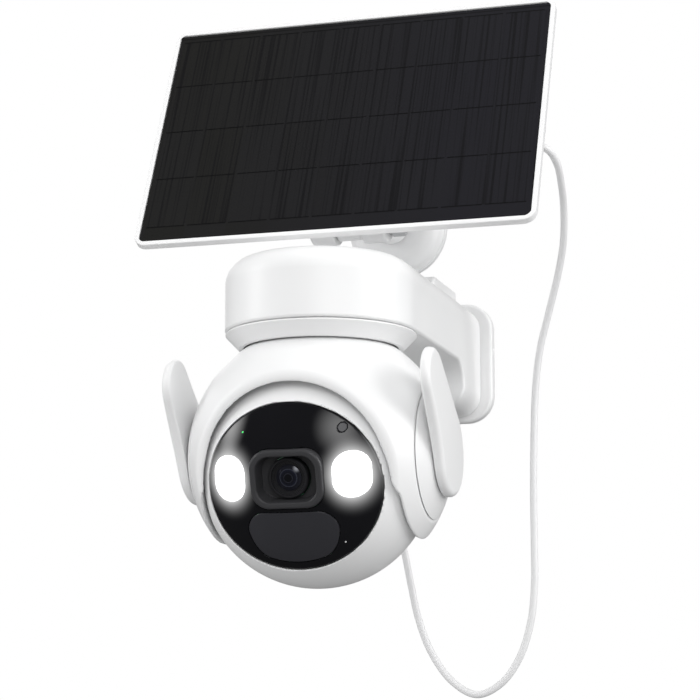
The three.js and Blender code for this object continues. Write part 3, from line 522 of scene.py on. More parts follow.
# Rings of an outline at each (inset, height) of the profile; both ends are closed, or the ends meet.
def stacked(name, outline, profile, material, place=world, loop=False, smooth=35):
    rings = [outline(inset) for inset, _ in profile]
    count = len(rings[0])
    points = [np.column_stack([ring, np.full(count, height)]) for ring, (_, height) in zip(rings, profile)]
    faces = []
    pairs = list(zip(range(len(rings)), range(1, len(rings))))
    if loop:
        pairs.append((len(rings) - 1, 0))
    for a, b in pairs:
        for i in range(count):
            j = (i + 1) % count
            faces.append((a * count + i, a * count + j, b * count + j, b * count + i))
    if not loop:
        faces.append(tuple(range(count))[::-1])
        faces.append(tuple((len(rings) - 1) * count + i for i in range(count)))
    piece = makeObject(name, np.concatenate(points), faces, material, place)
    piece.data.set_sharp_from_angle(angle=math.radians(smooth))
    weighted = piece.modifiers.new("flat faces", "WEIGHTED_NORMAL")
    weighted.keep_sharp = True
    return piece


# A turned piece: profile of (radius, height) from the bottom up, closed at both ends.
def turnedPiece(name, profile, material, place=world, steps=96, loop=False):
    return stacked(name, roundOutline(steps), profile, material, place, loop)


# Centripetal curve through the points, the same as the CAD cable's.
def smoothRoute(points, perSpan):
    p = np.array(points, float)
    p = np.vstack([2 * p[0] - p[1], p, 2 * p[-1] - p[-2]])
    route = []
    for i in range(1, len(p) - 2):
        a, b, c, d = p[i - 1], p[i], p[i + 1], p[i + 2]
        t0 = 0.0
        t1 = t0 + np.linalg.norm(b - a) ** 0.5
        t2 = t1 + np.linalg.norm(c - b) ** 0.5
        t3 = t2 + np.linalg.norm(d - c) ** 0.5
        for t in np.linspace(t1, t2, perSpan, endpoint=False):
            ab = (t1 - t) / (t1 - t0) * a + (t - t0) / (t1 - t0) * b
            bc = (t2 - t) / (t2 - t1) * b + (t - t1) / (t2 - t1) * c
            cd = (t3 - t) / (t3 - t2) * c + (t - t2) / (t3 - t2) * d
            left = (t2 - t) / (t2 - t0) * ab + (t - t0) / (t2 - t0) * bc
            right = (t3 - t) / (t3 - t1) * bc + (t - t1) / (t3 - t1) * cd
            route.append((t2 - t) / (t2 - t1) * left + (t - t1) / (t2 - t1) * right)
    route.append(p[-2])
    return np.array(route)


def tubeAlong(name, route, radius, material, sides=20):
    along = np.gradient(route, axis=0)
    along /= np.linalg.norm(along, axis=1, keepdims=True)
    side = np.cross(along[0], [0, 0, 1.0])
    side /= np.linalg.norm(side)
    rings = []
    for spot, direction in zip(route, along):
        side = side - direction * (side @ direction)
        side /= np.linalg.norm(side)
        other = np.cross(direction, side)
        turn = np.arange(sides) * 2 * math.pi / sides
        rings.append(spot + radius * (np.cos(turn)[:, None] * side + np.sin(turn)[:, None] * other))
    faces = [(a * sides + i, a * sides + (i + 1) % sides, (a + 1) * sides + (i + 1) % sides,
              (a + 1) * sides + i)
             for a in range(len(rings) - 1) for i in range(sides)]
    faces.append(tuple(range(sides))[::-1])
    faces.append(tuple((len(rings) - 1) * sides + i for i in range(sides)))
    return makeObject(name, np.concatenate(rings), faces, material)


# The solar cable is the one free cord.
panelSettings = {
    "lean": 24.6, "centre": (0.0, -91.3, 100.6), "width": 187.4, "height": 129.4, "corner": 6.0, "rim": 2.6,
    "edge": 3.5, "depth": 7.0, "taper": 4.0, "lip": 0.4, "laminate": 3.0, "pocketCorner": 2.9,
    "sheetCorner": 0.5,
}
panelPlace = Place(panelSettings["centre"], 90 - panelSettings["lean"])

cableSettings = {
    "radius": 1.65, "glandTip": (83.6, -12.0, -12.8), "plugGap": 0.3, "perSpan": 14, "route": [
        (88, -84.5, 84), (92.3, -81, 82), (94.6, -74, 77.5), (94.6, -65, 70.5), (93.4, -54, 61),
        (91, -44.5, 47.5), (86.7, -37, 33.9), (81, -31, 18), (75.6, -27, 1), (72.6, -24, -16),
        (71.2, -22.6, -38), (70.6, -22.6, -64), (70.6, -22.6, -90), (70.4, -22.6, -109),
        (68.4, -22.6, -126), (63, -22.6, -142), (54, -22.6, -154), (42.5, -22.6, -159),
        (31, -22.6, -153), (21, -22.6, -139.6), (14.8, -22.6, -124), (11, -22.6, -107),
        (7.5, -22.6, -90), (3, -22.6, -76), (0.4, -22.6, -65),
    ],
}
plugLow, plugHigh = nodeBox("power_plug")
plugMiddle = (plugLow + plugHigh) / 2


def makeCable(s):
    plugTip = (plugMiddle[0], plugMiddle[1], plugLow[2] - s["plugGap"])
    route = smoothRoute([panelPlace.out(s["glandTip"]), *s["route"], plugTip], s["perSpan"])
    cable = tubeAlong("cable", route, s["radius"], cableJacket)
    length = np.linalg.norm(np.diff(route, axis=0), axis=1).sum() * toMetres
    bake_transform(cable)
    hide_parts("solar_cable")
    print("cable length", round(length, 4))
    return cable, route, length


cable, cableRoute, cableLength = makeCable(cableSettings)


# Copies of an item at equal steps along a line, as one mesh.
def makeLineTree():
    tree = bpy.data.node_groups.new("items in a line", "GeometryNodeTree")
    kinds = {"Geometry": "Geometry", "Item": "Object", "Count": "Int", "Start": "Vector", "Step": "Vector",
             "Finish": "Material"}
    for label, kind in kinds.items():
        tree.interface.new_socket(label, in_out="INPUT", socket_type="NodeSocket" + kind)
    tree.interface.new_socket("Geometry", in_out="OUTPUT", socket_type="NodeSocketGeometry")
    given = addNode(tree, "NodeGroupInput").outputs
    line = addNode(tree, "GeometryNodeMeshLine", {"Count": given["Count"], "Start Location": given["Start"],
                                                  "Offset": given["Step"]}).outputs[0]
    item = addNode(tree, "GeometryNodeObjectInfo", {"Object": given["Item"]}).outputs["Geometry"]
    copies = addNode(tree, "GeometryNodeInstanceOnPoints", {"Points": line, "Instance": item}).outputs[0]
    real = addNode(tree, "GeometryNodeRealizeInstances", {"Geometry": copies}).outputs[0]
    painted = addNode(tree, "GeometryNodeSetMaterial", {"Geometry": real, "Material": given["Finish"]})
    addNode(tree, "NodeGroupOutput", {"Geometry": painted.outputs[0]})
    return tree


lineTree = makeLineTree()


# Runs the tree on a carrier and returns the result as a plain mesh, set down in its place.
def repeated(name, item, material, place, count, start, step):
    carrier = bpy.data.objects.new(name + "_carrier", bpy.data.meshes.new(name + "_carrier"))
    bpy.context.scene.collection.objects.link(carrier)
    modifier = carrier.modifiers.new("repeat", "NODES")
    modifier.node_group = lineTree
    values = {"Item": item, "Count": count, "Start": start, "Step": step, "Finish": material}
    for socket in lineTree.interface.items_tree:
        if socket.name in values:
            modifier[socket.identifier] = values[socket.name]
    bpy.context.view_layer.update()
    made = bpy.data.meshes.new_from_object(carrier.evaluated_get(bpy.context.evaluated_depsgraph_get()))
    co = np.empty(len(made.vertices) * 3)
    made.vertices.foreach_get("co", co)
    made.vertices.foreach_set("co", (place.out(co.reshape(-1, 3) / toMetres) * toMetres).ravel())
    made.name = name
    bpy.data.objects.remove(carrier)
    bpy.data.objects.remove(item)
    piece = bpy.data.objects.new(name, made)
    bpy.context.scene.collection.objects.link(piece)
    return piece


print("tools ready")

# Wall plate, arm and what sits on them.
armSettings = {
    "fillet": 11.0, "legFront": -39.0, "crook": 12.0, "toe": 8.0, "edge": 1.3, "backEdge": 0.8, "wall": 2.8,
    "socketHole": 6.3, "socketTop": -11.5, "ringInside": 4.0, "bay": (24, 42, 3), "bayY": -50.0, "bayZ": 9.0,
    "bayHalf": 12.5,
}


def makeArm(s):
    half, rear, top, low = armHigh[0], armHigh[1], armHigh[2], armLow[2]
    rim = ringHigh[2] - s["ringInside"]  # the ring's flange stands this far up inside the drum
    panY, socketY = panAxis[1], plugMiddle[1]

    def field(p):
        x, y, z = parts(p)
        plan = np.where(y < panY, np.hypot(x, y - panY), np.abs(x)) - half
        leg = meet(s["legFront"] - y, low - z, s["toe"])
        under = join(rim - z, leg, s["crook"])
        body = meet(meet(plan, z - top, s["fillet"]), low - z, s["fillet"])
        body = meet(meet(body, under, s["edge"]), y - rear, s["backEdge"])
        drum = meet(np.hypot(x, y - panY) - half + s["wall"], z - top + s["wall"], s["fillet"] - s["wall"])
        bay = np.maximum(rectDistance(x, y - s["bayY"], *s["bay"]), np.abs(z - s["bayZ"]) - s["bayHalf"])
        hole = np.maximum(np.hypot(x, y - socketY) - s["socketHole"], z - s["socketTop"])
        return cut(cut(body, join(drum, bay), 0.5), hole, 0.5)

    whiteMoulding("arm_shell", "root", "arm_housing", field, armLow - 0.5, armHigh + 0.5, 1.0)


plateSettings = {"corner": 13.0, "edge": 1.6, "hole": 2.3, "sink": 4.6, "holeX": 34.0, "holeZ": 17.0,
                 "sinkSlope": 0.7, "slotZ": 5.6, "slotLong": 1.6, "slotHalf": 0.75, "slotOut": 3.0,
                 "slotDeep": 1.2}


def makePlate(s):
    width, thick, height = plateHigh - plateLow

    def field(p):
        x, z, out = parts(p)
        body = meet(rectDistance(x, z, width / 2, height / 2, s["corner"]), out - thick, s["edge"])
        body = meet(body, -out, 0.5)
        shaft = np.hypot(np.abs(x) - s["holeX"], np.abs(z) - s["holeZ"])
        body = cut(body, shaft - s["hole"], 0.3)
        body = cut(body, (shaft - s["sink"] - (out - thick)) * s["sinkSlope"], 0.1)
        slot = np.maximum(np.abs(z - s["slotZ"]) - s["slotLong"], np.abs(out - s["slotOut"]) - s["slotHalf"])
        return cut(body, np.maximum(slot, width / 2 - s["slotDeep"] - x), 0.2)

    low = (-width / 2, -height / 2, 0)
    high = (width / 2, height / 2, thick)
    whiteMoulding("wall_bracket", "root", "wall_plate", field, low, high, 0.75,
                  Place((0, 0, 0), axes=frontAxes))


coverSettings = {"corner": 3.0, "edge": 1.4, "chamfer": 3.0, "grip": 24.0, "gripHigh": 3.5, "gripDeep": 3.0}


def makeCover(s):
    low, high = nodeBox("battery_cover")
    middle, half = (low + high) / 2, (high - low) / 2

    def field(p):
        x, y, z = (p[..., n] - middle[n] for n in range(3))
        body = meet(rectDistance(x, y, half[0], half[1], s["corner"]), np.abs(z) - half[2], s["edge"])
        slant = ((-y - half[1]) + (z - half[2]) + s["chamfer"]) / math.sqrt(2)
        body = meet(body, slant, 0.6)
        grip = meet(np.abs(x) - s["grip"] / 2, y + half[1] - s["gripDeep"], 0.6)
        grip = meet(grip, z + half[2] - s["gripHigh"], 0.6)
        return cut(body, grip, 0.4)

    whiteMoulding("battery_lid", "root", "battery_cover", field, low, high, 0.7)


ribSettings = {"length": 30.0, "width": 1.4, "corner": 0.7, "sunk": 0.4, "proud": 0.4, "bevel": 0.35,
               "shoulder": 0.15, "count": 5, "step": 3.0}


def makeLidRibs(s):
    low, high = nodeBox("battery_cover")
    profile = [(0.0, -s["sunk"]), (0.0, s["shoulder"]), (s["bevel"], s["proud"])]
    bar = stacked("rib_bar", rectOutline(s["length"], s["width"], s["corner"], 4), profile, whitePlastic)
    place = Place([*((low + high) / 2)[:2], high[2]])
    step = s["step"] * toMetres
    ribs = repeated("lid_ribs", bar, whitePlastic, place, s["count"], (0, -2 * step, 0), (0, step, 0))
    settle(ribs, "root", "white_plastic")


ringSettings = {"bore": 24.2, "ledge": 3.0, "lip": 2.5, "step": 4.3, "shoulder": 0.6, "foot": 35.6,
                "footEdge": 0.9, "inner": 33.5, "innerEdge": 0.7, "web": 31.5, "webHigh": 3.8}


def makeRing(s):
    r, low, high = ringHigh[0], ringLow[2], ringHigh[2]
    top, edge, foot, inner = high - s["step"], s["shoulder"], s["footEdge"], s["innerEdge"]
    profile = [
        (s["bore"], high - s["ledge"]), (s["bore"], high), (r - s["lip"], high), (r - s["lip"], top),
        (r - 0.5, top), *arc(r - edge, top - edge, edge, 80, -30, 5),
        *arc(s["foot"], low + foot, foot, -40, -90, 4), *arc(s["inner"] + inner, low + inner, inner, -100,
                                                             -180, 4),
        (s["inner"], high - s["webHigh"]), (s["web"], high - s["ledge"]),
    ]
    piece = turnedPiece("tapered_ring", profile[::-1], whitePlastic, Place((0, panAxis[1], 0)), 144,
                        loop=True)
    settle(piece, "root", "white_plastic", "base_ring")


plugSettings = {
    "cone": [(1.9, 0.0), (2.5, 0.0), (3.2, 3.0), (4.2, 8.4)],  # radius and height, up from the cable
    "coneHigh": 11.4, "collar": 10.0, "bevel": 0.7, "pin": 2.6, "pinBevel": 0.4, "rings": 5,
    "ringsBelow": 9.0, "ringStep": 1.4, "ring": [(-0.2, -0.4), (0.25, -0.15), (0.25, 0.15), (-0.2, 0.4)],
}


def makePlug(s):
    end, radius, tip, pin = plugHigh[2], plugHigh[0], plugLow[2], s["pin"]
    top, place = end - s["collar"], Place((plugMiddle[0], plugMiddle[1], 0))
    profile = [*[(r, tip + z) for r, z in s["cone"]], (radius, tip + s["coneHigh"]),
               (radius, top - s["bevel"]),
               (radius - s["bevel"], top), (pin, top), (pin, end - s["pinBevel"]), (pin - s["pinBevel"], end)]
    body = turnedPiece("plug_body", profile, softRubber, place, 64)
    settle(body, "root", "cable_jacket", "power_plug")
    ring = turnedPiece("grip_ring", [(radius + r, z) for r, z in s["ring"]], softRubber, steps=48, loop=True)
    start, step = (0, 0, (top - s["ringsBelow"]) * toMetres), (0, 0, s["ringStep"] * toMetres)
    rings = repeated("plug_rings", ring, softRubber, place, s["rings"], start, step)
    settle(rings, "root", "cable_jacket")
    return body, rings


makeArm(armSettings)
makePlate(plateSettings)
makeCover(coverSettings)
makeLidRibs(ribSettings)
makeRing(ringSettings)
plugPieces = makePlug(plugSettings)
[tuple(p) for p in cableRoute * toMetres]
print("arm, plate and plug")

# Yoke and antennas.
yokeSettings = {"radius": 57.4, "inner": 54.2, "room": 51.6, "hoodTilt": 18.0, "hoodReach": 38.0,
                "cheekIn": 43.5,
                "cheekOut": 49.4, "flat": 51.0, "ceiling": 47.5, "wire": 9.5, "shaft": 5.3, "capBore": 4.3,
                "capEdge": 0.7}


def makeYoke(s):
    tilt = math.radians(s["hoodTilt"])
    ahead = np.array([0, -math.cos(tilt), -math.sin(tilt)])
    above = np.array([0, -math.sin(tilt), math.cos(tilt)])
    offset = ballCentre - yokeCentre

    def field(p):
        x = np.abs(p[..., 0])
        body = meet(np.linalg.norm(p, axis=-1) - s["radius"], p @ ahead - s["hoodReach"], 1.7)
        body = meet(meet(body, x - s["cheekOut"], 0.4), p[..., 2] - s["flat"], 1.2)
        hollow = join(np.linalg.norm(p, axis=-1) - s["inner"],
                      np.linalg.norm(p - offset, axis=-1) - s["room"], 0.5)
        channel = np.maximum(x - s["cheekIn"], p[..., 2] - s["ceiling"])
        body = cut(body, meet(hollow, channel, 2.0), 1.2)
        body = cut(body, meet(x - s["cheekIn"], p @ above, 14.0), 1.3)
        bore = np.hypot(p[..., 1] - offset[1], p[..., 2] - offset[2]) - s["shaft"]
        wire = np.maximum(np.hypot(p[..., 0], p[..., 1]) - s["wire"], -p[..., 2])
        return cut(cut(body, bore), wire, 0.4)

    low, high = nodeBox("yoke_shell")
    whiteMoulding("yoke_hood", "yoke", "yoke_shell", field, low - yokeCentre, high - yokeCentre, 0.9,
                  Place(yokeCentre))


def makeCheekCap(side, s):
    name = "left" if side < 0 else "right"
    low, high = nodeBox(name + "_cheek_cap")
    near, far = sorted((abs(low[0]), abs(high[0])))
    edge, bore = s["capEdge"], s["capBore"]
    reach = math.sqrt(s["radius"] ** 2 - near**2)
    top = math.sqrt(s["radius"] ** 2 - far**2)
    slant = math.degrees(math.asin(near / s["radius"]))
    crown = math.degrees(math.asin(far / s["radius"]))
    profile = [(bore, near), (reach - edge, near), *arc(0, 0, s["radius"], slant + 0.5, crown - 1.0, 10),
               (top - 1.0, far), (bore, far)]
    axes = [[0, side, 0], [0, 0, 1], [side, 0, 0]]
    cap = turnedPiece(name + "_cheek_disc", profile, whitePlastic,
                      Place((0, yokeCentre[1], yokeCentre[2]), axes=axes),
                      128, loop=True)
    settle(cap, "yoke", "white_plastic", name + "_cheek_cap")


antennaSettings = {"hub": 19.0, "hubTurn": 18.0, "tip": 12.0, "tipTurn": 8.0, "waist": (14.4, 16.8),
                   "reach": 40.0, "lean": 44.0, "edge": 2.3, "inner": 54.8, "outer": 60.2, "bulge": 0.0025,
                   "bulgeAlong": 0.35, "bulgeMiddle": 14.0}


# The paddle's outline: a round hub, two hollow sides and a round tip.
def paddleOutline(s):
    hub = arc(0, 0, s["hub"], 180 - s["hubTurn"], 360 + s["hubTurn"], 64)
    tip = arc(0, s["reach"], s["tip"], s["tipTurn"], 180 - s["tipTurn"], 40)
    first, last = np.array(hub[-1]), np.array(tip[0])
    t = np.linspace(0, 1, 26)[1:-1, None]
    side = (1 - t) ** 2 * first + 2 * t * (1 - t) * np.array(s["waist"]) + t * t * last
    return np.concatenate([hub, side, tip, side[::-1] * [-1, 1]])


def makeAntenna(side, s):
    name = "left" if side < 0 else "right"
    outline = paddleOutline(s)

    def field(p):
        y, z, x = parts(p)
        crown = x - s["outer"] + s["bulge"] * (y * y + s["bulgeAlong"] * (z - s["bulgeMiddle"]) ** 2)
        return meet(meet(outlineDistance(y, z, outline), crown, s["edge"]), s["inner"] - x, 1.1)

    c, n = math.cos(math.radians(s["lean"])), math.sin(math.radians(s["lean"]))
    axes = [[0, c, n], [0, -n, c], [side, 0, 0]]
    low = (-s["hub"], -s["hub"], s["inner"])
    high = (s["hub"], s["reach"] + s["tip"], s["outer"])
    place = Place((0, yokeCentre[1], yokeCentre[2]), axes=axes)
    whiteMoulding(name + "_paddle", name + "_antenna", name + "_antenna", field, low, high, 0.6, place)


makeYoke(yokeSettings)
for sign in (-1, 1):
    makeCheekCap(sign, yokeSettings)
    makeAntenna(sign, antennaSettings)
print("yoke and antennas")

# Ball and face.
ballPlace = Place(ballCentre, 107)
servicePlace = Place(ballCentre, 211)
ballSettings = {
    "radius": 50.3, "wall": 2.5, "flat": 42.8, "split": -12.0, "bore": 8.0, "edge": 0.9, "seam": 0.15,
    "speakerHole": 1.1, "speakerRing": 5.0, "speakerHoles": 6, "screwX": 24.0, "screwHole": 3.0,
    "backDeep": 30.0, "halfWidth": 43.0,
}
faceSettings = {"across": 37.8, "upright": 35.2, "dome": 66.0, "apex": 45.0, "thick": 2.2, "gap": 0.3,
                "line": 0.1, "holeFrom": 10.0, "back": 30.0}
lampSettings = {"u": 26.6, "v": 4.8, "width": 15.2, "height": 19.0, "corner": 7.2, "back": 31.0,
                "room": (8, 10)}
pirSettings = {"top": -9.4, "half": 19.8, "margin": 3.6, "corner": 8.5, "foot": 8.0,
               "box": ((-21, -33, 30), (21, -9, 45))}
sensorSettings = {"u": 23.4, "v": 24.0, "radius": 1.9, "sunk": 0.15, "box": ((21, 22, 30), (26, 26, 45))}
dotSettings = {"status_dot": (-19.3, 23.8, 0.5), "microphone_dot": (20.9, -23.6, 0.45)}
lensSettings = {
    "v": 4.6, "width": 31.6, "height": 24.7, "corner": 8.0, "openWidth": 26.0, "openHeight": 19.2,
    "floor": 38.5,
    "front": 45.6, "barrel": 8.6, "gap": 0.3, "under": 2.0, "edge": 1.3, "draft": 0.12, "foot": 0.85,
    "dishCorner": 6.0, "barrelFrom": 12.0,
    "steps": [(8.6, 2.9), (8.1, 3.4), (7.5, 3.4), (7.3, 3.1), (7.2, 2.3), (6.75, 2.3), (6.65, 1.9),
              (6.3, 1.9),
              (6.15, 1.45), (5.75, 1.45), (5.6, 1.2)],  # radius, and height over the floor
    "glass": 5.4, "glassLow": 1.5, "glassDome": 10.2, "glassMiddle": 8.4,
}
serviceSettings = {"width": 26.0, "height": 12.0, "corner": 5.0, "thick": 2.2, "proud": 0.4, "gap": 0.3,
                   "holeFrom": 30.0, "gripX": 8.5, "grip": (1.6, 3.4, 1.5), "gripDeep": 1.25,
                   "box": ((-13, -6, 46), (13, 6, 51)), "cap": [(1.8, 42.0), (1.8, 46.2), (1.4, 46.6)]}

def ballShell(p):
    s = ballSettings
    x, far = np.abs(p[..., 0]), np.linalg.norm(p, axis=-1)
    body = meet(far - s["radius"], x - s["flat"], s["edge"])
    hollow = meet(far - s["radius"] + s["wall"], x - s["flat"] + s["wall"], 1.0)
    bore = np.hypot(p[..., 1], p[..., 2]) - s["bore"]
    q, f = p @ (servicePlace.axes @ ballPlace.axes.T).T, serviceSettings
    hatch = np.maximum(sizedRect(q[..., 0], q[..., 1], f, f["gap"]), f["holeFrom"] - q[..., 2])
    return cut(cut(cut(body, hollow, 0.3), bore, 0.3), hatch, 0.35)


def frontShell(p):
    s, f = ballSettings, faceSettings
    body = meet(ballShell(p), s["split"] + s["seam"] - p[..., 2], 0.35)
    hole = ellipseDistance(p[..., 0], p[..., 1], f["across"] + f["gap"], f["upright"] + f["gap"])
    return cut(body, np.maximum(hole, f["holeFrom"] - p[..., 2]), 0.55)


def rearShell(p):
    s = ballSettings
    x, y, z = parts(p)
    body = meet(ballShell(p), z - s["split"] + s["seam"], 0.35)
    holes = np.hypot(x, y) - s["speakerHole"]
    for i in range(s["speakerHoles"]):
        turn = math.radians(360 / s["speakerHoles"] * i)
        across, up = s["speakerRing"] * math.cos(turn), s["speakerRing"] * math.sin(turn)
        holes = np.minimum(holes, np.hypot(x - across, y - up) - s["speakerHole"])
    holes = np.minimum(holes, np.hypot(np.abs(x) - s["screwX"], y) - s["screwHole"])
    return cut(body, np.maximum(holes, z + s["backDeep"]), 0.3)


def makeBall(s):
    half, wide, split = s["radius"], s["halfWidth"], s["split"]
    whiteMoulding("ball_front", "ball", "ball_front_shell", frontShell, (-wide, -half, split),
                  (wide, half, half), 0.72, ballPlace)
    whiteMoulding("ball_back", "ball", "ball_rear_shell", rearShell, (-wide, -half, -half),
                  (wide, half, split), 0.75, ballPlace)


def skinDistance(p, proud=0.0):
    f = faceSettings
    far = np.linalg.norm(p - np.array([0, 0, f["apex"] - f["dome"]]), axis=-1)
    return meet(far - f["dome"] - proud, f["dome"] - f["thick"] - far, 0.25)


def lampDistance(p, sign):
    s = lampSettings
    return sizedRect(p[..., 0] - sign * s["u"], p[..., 1] - s["v"], s)


def pirDistance(p):
    s, f = pirSettings, faceSettings
    rim = ellipseDistance(p[..., 0], p[..., 1], f["across"] - s["margin"], f["upright"] - s["margin"])
    top = meet(np.abs(p[..., 0]) - s["half"], p[..., 1] - s["top"], s["corner"])
    return meet(top, rim, s["foot"])


def sensorDistance(p):
    s = sensorSettings
    return np.hypot(p[..., 0] - s["u"], p[..., 1] - s["v"]) - s["radius"]


def hoodDistance(p):
    return sizedRect(p[..., 0], p[..., 1] - lensSettings["v"], lensSettings)


def faceField(p):
    f = faceSettings
    body = meet(skinDistance(p), ellipseDistance(p[..., 0], p[..., 1], f["across"], f["upright"]), 0.4)
    for hole in (lampDistance(p, -1), lampDistance(p, 1), pirDistance(p), hoodDistance(p), sensorDistance(p)):
        body = cut(body, hole - f["line"], 0.1)
    return body


# Painted glow: a halo of light round a place on the face, which fades with the distance from it.
def makeGlowGroup():
    sockets = {"Place": None, "Middle": None, "Near": 0.007, "Far": 0.02}
    tree, given, made = makeGroup("glow round a lamp", sockets, ["Glow"])
    away = vectorMaths(tree, "SUBTRACT", given["Place"], given["Middle"])
    far = vectorMaths(tree, "LENGTH", vectorMaths(tree, "MULTIPLY", away, (1.22, 1.0, 0.0)))
    fill(made, {"Glow": maths(tree, "POWER", mapped(tree, far, 1.0, 0.0, given["Near"], given["Far"]), 3.2)})
    return tree


glowGroup = makeGlowGroup()


def spotOf(tree):
    return addNode(tree, "ShaderNodeAttribute", attribute_name="spot").outputs["Vector"]


def makeFaceMaterial(s):
    material, tree, shader, place = makeMaterial("black_face_gloss")
    surface = useGroup(tree, mouldedGroup, place, Grain=900.0, Drift=30.0)
    scratch = useGroup(tree, scratchGroup, place, Scale=160.0)["Mark"]
    # painted glow: the black face glass itself emits round each lamp, standing in for the lamps' light
    # spreading over it
    glows = []
    for sign in (-1, 1):
        middle = (sign * s["u"] * toMetres, s["v"] * toMetres, 0.0)
        glows.append(useGroup(tree, glowGroup, spotOf(tree), Middle=middle, Near=0.0078, Far=0.0195)["Glow"])
    fill(shader, {
        "Base Color": blendColours(tree, surface["Tone"], rgb(0.004, 0.004, 0.005), rgb(0.008, 0.008, 0.01)),
        "Roughness": mapped(tree, scratch, 0.07, 0.11),
        "Emission Color": blendColours(tree, maths(tree, "ADD", *glows), rgb(0, 0, 0), rgb(1, 1, 1)),
        "Emission Strength": 0.95,
    })
    return material


def makeLampMaterial():
    material, tree, shader, place = makeMaterial("lamp_lens", 0.25)
    surface = useGroup(tree, mouldedGroup, place, Grain=1200.0, Drift=200.0)
    fill(shader, {
        "Base Color": blendColours(tree, surface["Tone"], rgb(0.93, 0.94, 0.96), rgb(0.98, 0.98, 0.98)),
        "Emission Color": blendColours(tree, surface["Tone"], rgb(0.97, 0.98, 1.0), rgb(1, 1, 1)),
        "Emission Strength": 1.6,
    })
    bumped(tree, shader, surface["Height"], 0.00002)
    return material


def makeStatusMaterial():
    material, tree, shader, place = makeMaterial("status_lamp", 0.3)
    tone = useGroup(tree, mouldedGroup, place, Grain=1200.0)["Tone"]
    fill(shader, {"Base Color": blendColours(tree, tone, rgb(0.05, 0.5, 0.12), rgb(0.1, 0.7, 0.2)),
                  "Emission Color": rgb(0.08, 0.9, 0.2), "Emission Strength": 0.7})
    return material


# the lighter stops at 0.34 and 0.68 are painted reflection rings on the glass
opticSettings = {"radius": 0.0054, "stops": [
    (0.0, (0.003, 0.003, 0.004)), (0.3, (0.004, 0.004, 0.006)), (0.34, (0.03, 0.03, 0.036)),
    (0.4, (0.006, 0.006, 0.009)), (0.62, (0.01, 0.011, 0.02)), (0.68, (0.05, 0.052, 0.06)),
    (0.74, (0.01, 0.01, 0.014)), (1.0, (0.02, 0.02, 0.024)),
]}


# Coated optic: dark in the middle, with painted reflections out to the rim: thin lighter, bluish rings in the
# base colour.
def makeOpticMaterial(s):
    material, tree, shader, place = makeMaterial("coated_optic")
    radius = vectorMaths(tree, "LENGTH", vectorMaths(tree, "MULTIPLY", spotOf(tree), (1, 1, 0)))
    ramp = addNode(tree, "ShaderNodeValToRGB", {0: mapped(tree, radius, 0.0, 1.0, 0.0, s["radius"])})
    stops = ramp.color_ramp.elements
    for at, colour in s["stops"][1:-1]:
        stops.new(at).color = rgb(*colour)
    stops[0].color, stops[-1].color = rgb(*s["stops"][0][1]), rgb(*s["stops"][-1][1])
    smudge = useGroup(tree, mouldedGroup, place, Grain=500.0)["Tone"]
    fill(shader, {"Base Color": ramp.outputs[0], "Roughness": mapped(tree, smudge, 0.03, 0.09),
                  "Coat Weight": 0.6, "Coat Tint": rgb(0.75, 0.8, 1.0)})
    return material


faceGloss = makeFaceMaterial(lampSettings)
lampLens = makeLampMaterial()
statusGreen = makeStatusMaterial()
coatedOptic = makeOpticMaterial(opticSettings)


# A window set into the face, which follows the face's own curve.
def makeInset(name, outline, edge, low, high, step, material, slot, node, proud=0.0):
    def field(p):
        return meet(skinDistance(p, proud), outline(p), edge)

    settle(carved(name, field, low, high, step, material, ballPlace), "ball", slot, node)


def makeFace(f, s):
    low, high = (-f["across"], -f["upright"], f["back"]), (f["across"], f["upright"], f["apex"])
    glass = carved("face_dome", faceField, low, high, 0.5, faceGloss, ballPlace)
    settle(glass, "ball", "face_black", "face_glass")
    for sign, name in ((-1, "left"), (1, "right")):
        u, v, (across, up) = sign * s["u"], s["v"], s["room"]
        low, high = (u - across, v - up, s["back"]), (u + across, v + up, f["apex"])
        makeInset(name + "_lamp", lambda p, sign=sign: lampDistance(p, sign), 0.35, low, high, 0.45, lampLens,
                  "lamp_lens", "led_window_" + name)
    makeInset("motion_window", pirDistance, 0.3, *pirSettings["box"], 0.45, windowPlastic, "window_grey",
              "pir_window")
    makeInset("daylight_eye", sensorDistance, 0.25, *sensorSettings["box"], 0.2, windowPlastic, "window_grey",
              "light_sensor", -sensorSettings["sunk"])
    for (name, (x, y, radius)), finish in zip(dotSettings.items(), (statusGreen, softRubber)):
        height = f["apex"] - f["dome"] + math.sqrt(f["dome"] ** 2 - x ** 2 - y ** 2)
        place = Place(ballPlace.out([x, y, height]), axes=ballPlace.axes)
        dot = turnedPiece(name, [(radius, -0.5), (radius, -0.05), (radius * 0.6, 0.04)], finish, place, 20)
        settle(dot, "ball", "face_black")


